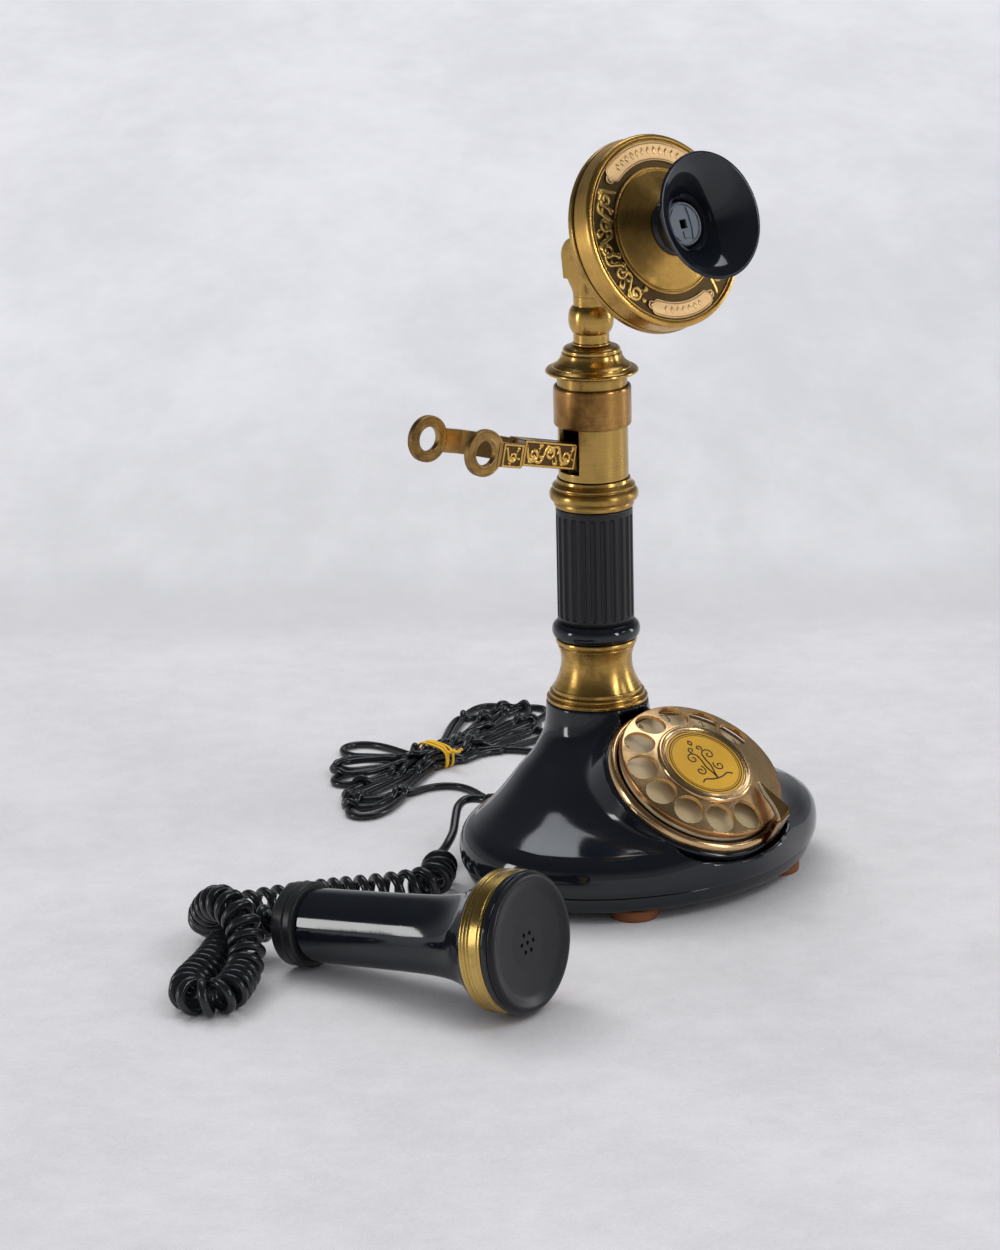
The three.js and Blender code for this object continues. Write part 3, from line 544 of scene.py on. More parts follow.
def curly_route():
    """Centre line of the coil, from the receiver's tail to the base's left rear."""
    lead_in = [beyond_tail(distance) for distance in (-6, 0, 5, 9.5)]
    coil = [
        (-189, 4.5, 14.8), (-194.5, 9.8, 11.6), (-201, 11, 9.6), (-208, 8.2, 8.7),
        (-214.5, 3.5, 8.5), (-221, -1.5, 8.5), (-229, -7, 8.5), (-238.6, -12.9, 8.5),
        (-246.5, -18.2, 8.5), (-252.6, -25, 8.5), (-253.4, -32.8, 8.5),
        (-247.5, -37.8, 8.5), (-240, -36.4, 8.5), (-233, -31.6, 8.5),
        (-225, -25.8, 9.6), (-217.5, -19.6, 13.4), (-212, -12, 19.6), (-209, -4, 24.8),
        (-207.5, 4, 26.6), (-206, 12, 26.2), (-204, 20, 22.6), (-201, 28, 16.6),
        (-196.6, 34.6, 11.2), (-190, 38.2, 8.8), (-181, 38.8, 8.5), (-168, 37, 8.5),
        (-150, 31, 8.5), (-135, 24.5, 8.5), (-122, 17.5, 8.5), (-112, 12.4, 8.5),
        (-103, 9.2, 8.5), (-95.5, 8, 8.5), (-88.5, 10.6, 8.5), (-81.7, 16.4, 8.5),
        (-75.7, 22.6, 8.5), (-70.5, 28.6, 8.6),
    ]
    lead_out = [
        (-66, 33.2, 8.8), (-59, 37.6, 9.6), (-50, 43.2, 12.4), (-43, 49.5, 15.8),
        (-37, 54.8, 18.4), (-31.4, 57.6, 19.6), (-27.2, 57.2, 20),
    ]
    lead_out += [tuple(RECEIVER_BUSH + RECEIVER_BUSH_OUT * d) for d in (13, 10, 6, 0, -6)]
    return lead_in, coil, lead_out


def helix(route, pitch_at, radius_at):
    """A coil wound round an evenly sampled route; pitch and radius vary along it."""
    p = even(smooth(route, 12), ROUTE_STEP)
    run = np.arange(len(p)) * ROUTE_STEP
    ahead = np.gradient(p, axis=0)
    ahead /= np.linalg.norm(ahead, axis=1)[:, None]
    side = np.cross(ahead[0], (0, 0, 1.0))
    side /= np.linalg.norm(side)
    sides = []
    for t in ahead:
        side = side - t * side.dot(t)
        side /= np.linalg.norm(side)
        sides.append(side)
    sides = np.array(sides)
    others = np.cross(ahead, sides)
    phase = np.concatenate(
        [[0], np.cumsum(2 * math.pi * ROUTE_STEP / pitch_at(run[:-1]))])
    count = int(phase[-1] / (2 * math.pi) * POINTS_PER_TURN) + 1
    turn = np.linspace(0, phase[-1], count)
    where = np.interp(turn, phase, run)

    def track(values):
        return np.stack([np.interp(where, run, values[:, k]) for k in range(3)], axis=1)
    return track(p) + radius_at(where)[:, None] * (
        np.cos(turn)[:, None] * track(sides) + np.sin(turn)[:, None] * track(others))


def ramp(x, low, high):
    """0 below low, 1 above high, eased between."""
    t = np.clip((x - low) / (high - low), 0, 1)
    return t * t * (3 - 2 * t)


def make_curly_cord():
    """One wire: plain at both ends, coiled between, and slack near the base."""
    lead_in, coil, lead_out = curly_route()
    route = lead_in + coil + lead_out
    total = run_length(smooth(route, 12))
    tail_run = 15.0
    base_run = run_length(smooth([coil[-1]] + lead_out, 12))
    loose_from, loose_to = 92.0, 118.0

    def pitch_at(s):
        jitter = 0.9 * np.sin(s * 0.083) + 0.6 * np.sin(s * 0.21 + 1.0)
        tight = 5.6 + 0.3 * np.sin(s * 0.4)
        loose = 6.6 + 0.8 * jitter
        open_end = 2.6 * ramp(s, total - base_run - 34, total - base_run - 20)
        return tight + (loose - tight) * ramp(s, loose_from, loose_to) + open_end

    def radius_at(s):
        return TURN_R * ramp(s, tail_run - 1, tail_run + 7) * ramp(total - s, base_run - 2,
                                                                   base_run + 8)
    line = even(helix(route, pitch_at, radius_at), 1.6)
    line[:, 2] = np.maximum(line[:, 2], WIRE_R + FLOOR)
    cord = piece("curly_cord_wire", tube_along(line, WIRE_R, 14), STAND, None, CORD,
                 ("receiver_lead", "curly_cord", "base_lead"), weighted=False,
                 slot="cord_black")
    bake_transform(cord)


make_curly_cord()

# ---------------------------------------------------------------- column
SLEEVE_R = 17.0
FLUTES = 24
FLUTE_DEPTH = 1.15
FLUTE_LOW, FLUTE_HIGH = 113.6, 160.4
BORE = 4.8


def make_column():
    """The stand from the base's top to the head's yoke, one turned piece on another."""
    flare = smooth([(19.5, 81.0), (18.1, 83.6), (16.7, 87), (15.95, 90.6), (15.85, 94.6),
                    (16.5, 97.8), (17.2, 99.8)], 4)
    turned("lower_ferrule_visual",
           [(BORE, 74.6), (22.4, 74.6, 0.4), (22.7, 76.5, 1.0), (21.1, 76.9, 0.2),
            (21.5, 77.9, 0.8), (21.1, 78.9, 0.6), (19.9, 79.2, 0.15), (19.85, 80.7, 0.3)]
           + [(r, z, 0.1) for r, z in flare]
           + [(16.9, 100.2, 0.15), (17.7, 100.7, 0.3), (18.2, 101.9, 0.8), (17.9, 103.2, 0.4),
              (BORE, 103.2)],
           STAND, "stand", BRASS, "lower_ferrule", closed=True, steps=192)
    turned("sleeve_bead", [(BORE, 103.5), (17.6, 103.5, 0.6), (19.2, 104.6, 1.0),
                           (19.75, 107.1, 1.6), (19.2, 109.6, 1.2), (17.2, 111.1, 0.5),
                           (BORE, 111.1)],
           STAND, "stand", GLOSS, "fluted_sleeve", closed=True)
    piece("fluted_sleeve_visual", sleeve(), STAND, "stand", SATIN, "fluted_sleeve")
    turned("stepped_collar_visual",
           [(BORE, 163.8), (17.5, 163.8, 0.3), (17.9, 165.2, 0.5), (17.6, 166.3, 0.15),
            (18.9, 166.7, 0.6), (19.75, 168.0, 1.2), (19.75, 170.0, 1.2), (18.9, 171.4, 0.6),
            (17.7, 171.8, 0.15), (17.6, 172.2, 0.15), (18.3, 172.6, 0.3), (18.35, 173.3, 0.3),
            (17.5, 174.1, 0.8), (16.5, 175.0, 0.6), (16.2, 176.5, 0.2), (9.4, 176.5),
            (9.4, 171.9), (BORE, 171.9)],
           STAND, "stand", BRASS, "stepped_collar", radius=0.15, closed=True, steps=192)
    piece("switch_tube_visual", windowed_tube(), STAND, "stand", TUBE_BRASS, "switch_tube",
          bevel=0.3)
    turned("column_band_visual", [(15.7, 200.5), (16.8, 200.5, 0.5), (17.15, 201.3, 0.4),
                                  (17.15, 217.2, 0.4), (16.7, 218.1, 0.5), (15.7, 218.1)],
           STAND, "stand", DARK_BRASS, "column_band", closed=True, steps=192)
    turned("column_cap_visual",
           [(BORE, 223.5), (19.6, 223.5, 0.4), (20.8, 224.5, 0.8), (19.9, 225.7, 0.5),
            (17.4, 226.4, 0.2), (17.3, 227.0, 0.3), (15.2, 228.4, 1.2), (13.7, 230.8, 1.5),
            (13.2, 232.6, 0.4), (12.6, 233.1, 0.2), (12.7, 234.2, 0.5), (11.9, 235.2, 0.7),
            (8.9, 235.9, 0.3), (BORE, 235.9)],
           STAND, "stand", BRASS, "column_cap", closed=True, steps=192)
    neck()


def sleeve():
    """The fluted tube: shallow round-ended grooves sunk in a plain cylinder."""
    pitch = 2 * math.pi * SLEEVE_R / FLUTES
    half = 0.31 * pitch
    across = [-1, -0.9, -0.65, -0.35, 0, 0.35, 0.65, 0.9, 1]
    offsets = [a * half for a in across] + [half + (pitch - 2 * half) * k for k in (0.2, 0.8)]
    angles = [(i * pitch + o) / SLEEVE_R for i in range(FLUTES) for o in offsets]
    scoop = [0, 0.15, 0.35, 0.6, 0.9, 1.3, 1.8]
    heights = ([111.2] + [FLUTE_LOW + s for s in scoop] + list(np.linspace(118, 156, 5))
               + [FLUTE_HIGH - s for s in reversed(scoop)] + [162.6, 163.1, 163.4])
    edge = {162.6: 0.0, 163.1: 0.15, 163.4: 0.5}
    verts = [(BORE * math.cos(a), BORE * math.sin(a), 111.2) for a in angles]
    for z in heights:
        for i, a in enumerate(angles):
            u = offsets[i % len(offsets)] if i % len(offsets) < 9 else half
            v = max(0.0, FLUTE_LOW + half - z, z - (FLUTE_HIGH - half))
            away = math.hypot(u, v) / half
            sunk = FLUTE_DEPTH * (1 - away * away) ** 0.7 if away < 0.999 else 0.0
            r = SLEEVE_R - sunk - edge.get(z, 0.0)
            verts.append((r * math.cos(a), r * math.sin(a), z))
    verts += [(BORE * math.cos(a), BORE * math.sin(a), 163.4) for a in angles]
    return verts, grid(len(heights) + 2, len(angles), around=True, ring=True)


def thicken(outer, inner, faces):
    """A closed wall between two matching surfaces, with its open edges filled."""
    n = len(outer)
    out = list(faces) + [tuple(i + n for i in reversed(f)) for f in faces]
    edges = {(f[i - 1], f[i]) for f in faces for i in range(len(f))}
    out += [(b, a, a + n, b + n) for a, b in edges if (b, a) not in edges]
    return list(outer) + list(inner), out


def windowed_tube():
    """The brass tube with the hook's window cut in its -X side."""
    half = math.asin(6.2 / 15.5)
    angles = list(np.linspace(math.pi - half, math.pi + half, 17))
    angles += list(np.linspace(math.pi + half, 3 * math.pi - half, 113))[1:-1]
    heights = [176.8, 180.3, 191, 202, 212, 223.2]

    def wall(r):
        return [(r * math.cos(a), r * math.sin(a), z) for z in heights for a in angles]
    faces = [f for f in grid(len(heights), len(angles), around=True)
             if not (f[0] // len(angles) in (1, 2) and f[0] % len(angles) < 16)]
    return thicken(wall(15.5), wall(13.3), faces)


def superellipse(a, b, power, count, z):
    """Points of an oval (power 2) to a rounded rectangle (higher power) at height z."""
    out = []
    for i in range(count):
        t = 2 * math.pi * i / count
        c, s = math.cos(t), math.sin(t)
        out.append((a * math.copysign(abs(c) ** (2 / power), c),
                    b * math.copysign(abs(s) ** (2 / power), s), z))
    return out


def neck():
    """Ball-turned stem that opens into the two ears of the head's yoke."""
    stem = fillet([(0, 236.3), (8.4, 236.3, 0.2), (8.4, 237.1, 0.3), (7.9, 237.5, 0.2),
                   (7.9, 241.4, 0.6), (8.6, 242.1, 0.2), (9.4, 243.6, 1.0), (10, 246, 1.4),
                   (10, 249.4, 1.4), (9.3, 251.8, 1.0), (8.3, 253.2, 0.3), (7.6, 253.7, 0.4),
                   (7.7, 258)], 0.3)
    sections = [superellipse(a, b, p, 72, z) for a, b, p, z in (
        (7.7, 7.7, 2, 257.9), (7.75, 7.7, 2.1, 259.5), (8.1, 7.7, 2.5, 261.5),
        (8.6, 7.8, 3.2, 263.5), (8.9, 7.9, 4, 265.4), (9, 8, 5, 267.2))]
    rings = [p for ring in sections for p in ring]
    block = (rings, grid(len(sections), 72, around=True)
             + [tuple(range(72)), tuple(range(5 * 72 + 71, 5 * 72 - 1, -1))])
    outline = [(-7.8, 265.5)]
    for k in range(33):
        t = math.pi * (1 - k / 32)
        outline.append((9 * math.cos(t), HEAD_PIVOT_Z + 9 * math.sin(t)))
    outline.append((7.8, 265.5))
    ears = [moved(prism(outline, lo, hi), ACROSS_X) for lo, hi in ((4.3, 9), (-9, -4.3))]
    piece("neck_stem_visual", combine(lathe(stem, 96), block, *ears), STAND, "stand",
          BRASS, "neck_stem", bevel=0.35)


make_column()


# ---------------------------------------------------------------- base
BASE_CENTRE_Y = -26.4
BASE_HALF_X, BASE_HALF_Y = 86.3, 68.4
PARTING_Z, COLUMN_FOOT_Z, COLUMN_FOOT_R = 13.3, 74.6, 22.8
RIDGE_Z = 30.4
BASE_AROUND, PLATE_AROUND = 320, 256
HOUSING_TOP, HOUSING_R, HOUSING_FLARE, BLEND = -9.3, 41.8, 0.22, 13.0
DIAL_NORMAL = Vector((0, -math.sin(DIAL_TILT), math.cos(DIAL_TILT)))
BULGE = [(4, 82, 64), (PARTING_Z, BASE_HALF_X, BASE_HALF_Y), (18, 87.3, 69.4),
         (24, 86.7, 68.8), (28, 84.4, 66.4), (RIDGE_Z, 80.6, 62.6)]
BELL = [(RIDGE_Z, 1), (34.8, 0.8), (39.5, 0.63), (46, 0.425), (52, 0.22), (60, 0.06),
        (66, 0.015), (COLUMN_FOOT_Z, 0)]
bulge_curve = np.array(smooth(BULGE, 10))
bell_curve = np.array(smooth(BELL, 10))


def base_field(x, y, z):
    """Rough signed distance to the shell: an oval bell joined softly to the dial's drum."""
    under = z < RIDGE_Z
    w = np.clip(np.interp(z, bell_curve[:, 0], bell_curve[:, 1]), 0, 1)
    a = np.where(under, np.interp(z, bulge_curve[:, 0], bulge_curve[:, 1]),
                 COLUMN_FOOT_R + w * (80.6 - COLUMN_FOOT_R))
    b = np.where(under, np.interp(z, bulge_curve[:, 0], bulge_curve[:, 2]),
                 COLUMN_FOOT_R + w * (62.6 - COLUMN_FOOT_R))
    middle = BASE_CENTRE_Y * np.where(under, 1.0, w)
    oval = (np.hypot(x / a, (y - middle) / b) - 1) * np.minimum(a, b)
    dy, dz = y - DIAL_CENTRE.y, z - DIAL_CENTRE.z
    h = dy * DIAL_NORMAL.y + dz * DIAL_NORMAL.z
    r = np.sqrt(x * x + (dy - h * DIAL_NORMAL.y) ** 2 + (dz - h * DIAL_NORMAL.z) ** 2)
    drum = r - HOUSING_R - HOUSING_FLARE * np.maximum(HOUSING_TOP - h, -2.0)
    k = np.maximum(BLEND - np.abs(oval - drum), 0) / BLEND
    return np.minimum(oval, drum) - k * k * BLEND * 0.25


def base_surface(around, heights):
    """Rings of points where the field is zero, one ring at each height."""
    turn = np.linspace(0, 2 * math.pi, around, endpoint=False)
    cos, sin = np.cos(turn), np.sin(turn)
    rings = []
    for z in heights:
        y0 = BASE_CENTRE_Y * min(1.0, max(0.0, (COLUMN_FOOT_Z - z) / (COLUMN_FOOT_Z - 26)))
        level = np.full(around, z)
        steps = np.arange(4, 130, 0.75)
        inside = base_field(cos[:, None] * steps, y0 + sin[:, None] * steps,
                            np.full((around, len(steps)), z)) < 0
        last = np.argmax(~inside, axis=1)
        near, far = steps[last - 1], steps[last]
        for _ in range(16):
            middle = (near + far) / 2
            out = base_field(cos * middle, y0 + sin * middle, level) > 0
            far, near = np.where(out, middle, far), np.where(out, near, middle)
        rings.append(np.stack([cos * near, y0 + sin * near, level], axis=1))
    return rings


def make_base():
    """The shell with its dial housing, the bottom plate and the four feet."""
    heights = ([13.3, 13.45, 13.8, 14.4, 15.4, 17, 19, 21, 23, 25, 26.6, 28, 29, 29.7, 30.1,
                30.4, 30.7, 31.1, 31.7, 32.6]
               + list(np.arange(33.8, 73.9, 0.9)) + [74.0])
    rings = base_surface(BASE_AROUND, heights)
    rings[0][:, :2] = (rings[0][:, :2] - (0, BASE_CENTRE_Y)) * 0.994 + (0, BASE_CENTRE_Y)
    for shrink, z in ((0.985, 74.3), (0.95, 74.5), (0.6, 74.5)):
        rings.append([(x, y, z) for x, y in circle(COLUMN_FOOT_R * shrink, BASE_AROUND)])
    work = bmesh.new()
    made = [work.verts.new(p) for ring in rings for p in ring]
    for face in grid(len(rings), BASE_AROUND, around=True):
        work.faces.new([made[i] for i in face])
    bmesh.ops.bisect_plane(
        work, geom=work.verts[:] + work.edges[:] + work.faces[:], dist=1e-4,
        plane_co=DIAL_CENTRE + DIAL_NORMAL * (HOUSING_TOP - 0.5), plane_no=DIAL_NORMAL,
        clear_outer=True)
    bmesh.ops.recalc_face_normals(work, faces=work.faces)
    if sum(f.normal.z * f.calc_area() for f in work.faces) < 0:
        bmesh.ops.reverse_faces(work, faces=work.faces)
    shell = piece("base_shell_visual", read_back(work), STAND, "stand", GLOSS, "base_shell",
                  weighted=False, fixed=True)
    wall = shell.modifiers.new("wall", "SOLIDIFY")
    wall.thickness = 2.6 * MM
    wall.offset = -1
    turned("dial_housing_rim",
           [(37.2, -12), (37.2, -9.6, 0.3), (37.8, -9.15, 0.3), (40.9, -9.15, 0.9),
            (41.9, -10.2, 0.9), (41.75, -12)],
           DIAL, "stand", GLOSS, "base_shell", closed=True, steps=192)
    lip = [(0.90, 5.2), (0.935, 5.25), (0.955, 6.0), (0.968, 7.6), (0.982, 10.2),
           (0.989, 12.2), (0.986, 12.85), (0.975, 13.0), (0.95, 13.0), (0.945, 12.2),
           (0.93, 8.6), (0.0, 8.6), (0.0, 5.2)]
    verts = [(BASE_HALF_X * x, BASE_CENTRE_Y + BASE_HALF_Y * y, z)
             for k, z in fillet(lip, 0.006, 3) for x, y in circle(k, PLATE_AROUND)]
    faces = grid(len(verts) // PLATE_AROUND, PLATE_AROUND, around=True, ring=True)
    piece("bottom_plate_visual", (verts, faces), STAND, "stand", GLOSS, "bottom_plate",
          merge=0.02)
    for index, (x, y) in enumerate(((-43, -69), (43, -69), (-43, 17), (43, 17)), 1):
        pad = lathe(fillet([(0, 0.02), (10.1, 0.02, 0.5), (10.5, 0.9, 0.5), (10.5, 4.4, 0.4),
                            (10.1, 5.0, 0.3), (0, 5.0)], 0.4), 64)
        piece("foot_%d_visual" % index, moved(pad, Matrix.Translation((x, y, 0))), STAND,
              "stand", FOOT, "foot_%d" % index)


make_base()


# ---------------------------------------------------------------- receiver
def make_receiver():
    """The receiver lying on the table: tail collar, shank, band, earcap and gland."""
    shank = smooth([(15.6, 13), (15.75, 22), (15.9, 34), (16.1, 48), (16.3, 60), (16.6, 70),
                    (17.1, 78), (18.2, 85.5), (20.2, 92.2), (23.0, 97.6), (26.2, 101.8),
                    (28.2, 104.2)], 4)
    turned("receiver_body_visual",
           [(6, 11.9), (15.2, 11.9, 0.3)] + [(r, z, 0.1) for r, z in shank]
           + [(28.6, 105.2, 0.2), (25.8, 105.2), (22, 100), (17, 93), (14.6, 85), (13, 76),
              (12.5, 14), (6, 14)],
           RECEIVER, "receiver", GLOSS, "receiver_body", radius=0.3, closed=True, steps=192)
    turned("tail_collar_visual",
           [(5.3, 0.1), (16.6, 0.1, 0.7), (17.8, 1.2, 1.0), (17.8, 6.2, 0.5),
            (17.35, 6.6, 0.15), (17.35, 6.9, 0.15), (18.2, 7.3, 0.6), (18.2, 10.7, 0.7),
            (17.4, 11.6, 0.4), (5.3, 11.6)],
           RECEIVER, "receiver", SATIN, "tail_collar", closed=True)
    turned("receiver_band_visual",
           [(25, 105.5), (28.8, 105.5, 0.2), (29.4, 105.9, 0.4), (29.6, 106.6, 0.5),
            (29.1, 107.3, 0.15), (29.65, 107.8, 0.45), (29.65, 108.4, 0.45),
            (29.1, 108.9, 0.15), (29.65, 109.4, 0.45), (29.7, 110.1, 0.4), (29.25, 110.6, 0.15),
            (29.8, 111.0, 0.3), (29.85, 114.9, 0.25), (29.4, 115.2, 0.15), (29.5, 116.0, 0.2),
            (29.2, 116.3, 0.1), (25, 116.3)],
           RECEIVER, "receiver", BAND_BRASS, "receiver_band", radius=0.2, closed=True,
           steps=192)
    turned("earcap_ring", [(20, 116.6), (29.2, 116.6, 0.3), (29.6, 117.1, 0.4),
                           (29.6, 118.9, 0.5), (29.0, 119.4, 0.2), (20, 119.4)],
           RECEIVER, "receiver", GLOSS, "earcap", closed=True, steps=192)
    piece("earcap_face", earcap(), RECEIVER, "receiver", CAP, "earcap", bevel=0.12)
    gland = [(2.2, 8.5), (5.0, 8.5, 0.3), (5.0, 0.2), (5.0, -0.3, 0.4), (4.6, -1.0, 0.3)]
    for k in range(3):
        top = -1.6 - 1.35 * k
        r = 4.1 - 0.42 * k
        gland += [(r - 0.45, top + 0.35, 0.15), (r, top, 0.25), (r - 0.1, top - 0.7, 0.25)]
    gland += [(2.75, -5.9, 0.2), (2.2, -5.9)]
    turned("receiver_gland_visual", gland, RECEIVER, "receiver", CORD, "receiver_gland",
           radius=0.2, closed=True, steps=72)


def earcap():
    """Dished cap with seven sound holes."""
    profile = fillet([(28.6, 119.6), (29.15, 119.75, 0.3), (29.1, 120.7, 0.8),
                      (27.9, 121.95, 1.0), (26.3, 122.0, 0.6), (24.9, 121.5, 0.9),
                      (22.6, 120.7, 1.5), (17, 120.1, 2)], 0.4)
    face_z, face_r, hole_r = 119.75, 11.0, 0.95
    holes = [(0, 0), (4.1, 0), (-4.1, 0), (2.05, 3.55), (-2.05, 3.55), (2.05, -3.55),
             (-2.05, -3.55)]
    loops = [circle(face_r, 160)] + [circle(hole_r, 16, x, y) for x, y in holes]
    work = bmesh.new()
    edges = [e for loop in loops for e in loop_edges(work, loop, face_z)]
    bmesh.ops.triangle_fill(work, use_beauty=True, edges=edges)
    well = lathe([(hole_r, face_z), (hole_r, 117.6), (0, 117.6)], 16)
    wells = [moved(well, Matrix.Translation((x, y, 0))) for x, y in holes]
    return combine(lathe(profile + [(face_r, face_z)], 160), read_back(work), *wells)


def make_horn():
    """Mouthpiece: a black trumpet on the head, open to the front, with its inner plate."""
    outside = smooth([(12.2, 57.2), (11.3, 59.2), (11.35, 62.5), (12.3, 66.2), (14.3, 69.9),
                      (17.4, 73.6), (21.2, 76.9), (25.4, 79.3), (27.3, 80.1)], 5)
    inside = smooth([(25.7, 80.7), (22.2, 78.7), (18.6, 75.8), (15.3, 72.3), (12.6, 68.6),
                     (11, 65.2), (10.3, 62.8)], 5)
    turned("mouthpiece_visual",
           [(8.2, 51), (9.4, 51), (9.4, 56.9), (12.3, 56.9, 0.3)]
           + [(r, z, 0.1) for r, z in outside]
           + [(27.7, 80.5, 0.3), (27.4, 81.0, 0.3), (26.4, 81.1, 0.3)]
           + [(r, z, 0.1) for r, z in inside]
           + [(10.1, 61.4), (8.2, 61.3)],
           HEAD, "head", GLOSS, "mouthpiece", radius=0.2, closed=True, steps=192)
    hole = [(1.9, -1.9), (1.9, 1.9), (-1.9, 1.9), (-1.9, -1.9)]
    piece("mouthpiece_insert_visual", prism(circle(9.6, 96), 61.6, 63.0, hole), HEAD, "head",
          GREY_PLATE, "mouthpiece_insert", bevel=0.25)
    rim = [(8.3, 63.05), (8.5, 63.8, 0.3), (9.3, 63.8, 0.3), (9.5, 63.05)]
    turned("mouthpiece_insert_rim", rim, HEAD, "head", GREY_PLATE, "mouthpiece_insert",
           closed=True, steps=96)
    bar = [(-1.35, -6.2), (1.35, -6.2), (1.35, -3.1), (-1.35, -3.1)]
    flap = [(3.0, -7.0), (4.4, -6.9), (7.4, -3.4), (7.9, 0), (7.4, 3.4), (4.4, 6.9),
            (3.0, 7.0), (3.7, 3.6), (3.9, 0), (3.7, -3.6)]
    piece("mouthpiece_insert_ribs",
          combine(prism(flap, 63.05, 63.7), prism(bar, 63.05, 63.6),
                  prism([(-x, y) for x, y in flap][::-1], 63.05, 63.7)),
          HEAD, "head", GREY_PLATE, "mouthpiece_insert", bevel=0.2)


make_receiver()
make_horn()


# ---------------------------------------------------------------- relief ornament
def spiral(centre, outer, inner, turns, start, sense, width):
    """A curl that winds inwards and ends in a bud."""
    t = np.linspace(0, 1, 60)
    angle = start + sense * 2 * math.pi * turns * t
    radius = outer + (inner - outer) * t ** 0.85
    points = np.stack([centre[0] + radius * np.cos(angle),
                       centre[1] + radius * np.sin(angle)], axis=1)
    widths = width * (1 - 0.3 * t)
    widths[-3:] = width * 1.35
    return points, widths


def leaf(start, end, bow, width):
    """A teardrop from a fine stalk to a round tip."""
    start, end = np.array(start, float), np.array(end, float)
    along = end - start
    middle = (start + end) / 2 + np.array((-along[1], along[0])) * bow
    t = np.linspace(0, 1, 16)[:, None]
    points = start * (1 - t) ** 2 + middle * 2 * t * (1 - t) + end * t * t
    return points, width * (0.25 + 0.75 * t[:, 0] ** 1.5)


def running_scroll(start, units, pitch, half):
    """Strokes of a vine with a curl in each unit, along X about Y = 0."""
    strokes = []
    for i in range(units):
        s, side = start + (i + 0.5) * pitch, 1 if i % 2 else -1
        curl = 0.34 * pitch
        centre = (s, 0.12 * side * half)
        strokes.append(spiral(centre, curl, 0.11 * pitch, 1.3, math.pi, -side, 0.095 * pitch))
        stem = smooth([(s - 0.98 * pitch, -side * 0.42 * half),
                       (s - 0.75 * pitch, -side * 0.8 * half),
                       (s - 0.5 * pitch, -side * 0.68 * half),
                       (s - curl, centre[1])], 8)
        strokes.append((np.array(stem), np.full(len(stem), 0.08 * pitch)))
        for dx, y0, y1, bow in ((0.44, -0.1, -0.82, 0.25), (0.5, 0.15, 0.3, -0.3),
                                (0.36, -0.5, -0.9, -0.3), (-0.16, 0.7, 0.92, -0.3)):
            strokes.append(leaf((s + (dx - 0.14) * pitch, side * y0 * half),
                                (s + dx * pitch, side * y1 * half), bow, 0.1 * pitch))
    return strokes


def carved(coords, strokes):
    """Height from 0 to 1 of the strokes at each coordinate pair."""
    best = np.zeros(len(coords))
    for points, widths in strokes:
        reach = widths.max()
        near = np.all((coords > points.min(0) - reach) & (coords < points.max(0) + reach), 1)
        if near.any():
            away = ((coords[near][:, None] - points[None]) ** 2).sum(2) / widths ** 2
            best[near] = np.maximum(best[near], np.sqrt(np.clip(1 - away, 0, 1)).max(1))
    return best


def with_height(obj, values):
    """Stores how far each vertex stands up, for the patina in the hollows and, on the plates,
    painted shade round raised marks.
    """
    stored = obj.data.attributes.new("raised", "FLOAT", "POINT")
    stored.data.foreach_set("value", np.asarray(values, dtype=np.float32))
    return obj


# ---------------------------------------------------------------- head
RELIEF_LOW, RELIEF_HIGH, RELIEF_FLOOR = 27.5, 38.7, 50.1
PLATES = {"upper": (44.0, 136.0, 34.6, 4.4), "lower": (-124.0, -58.0, 34.6, 3.8)}


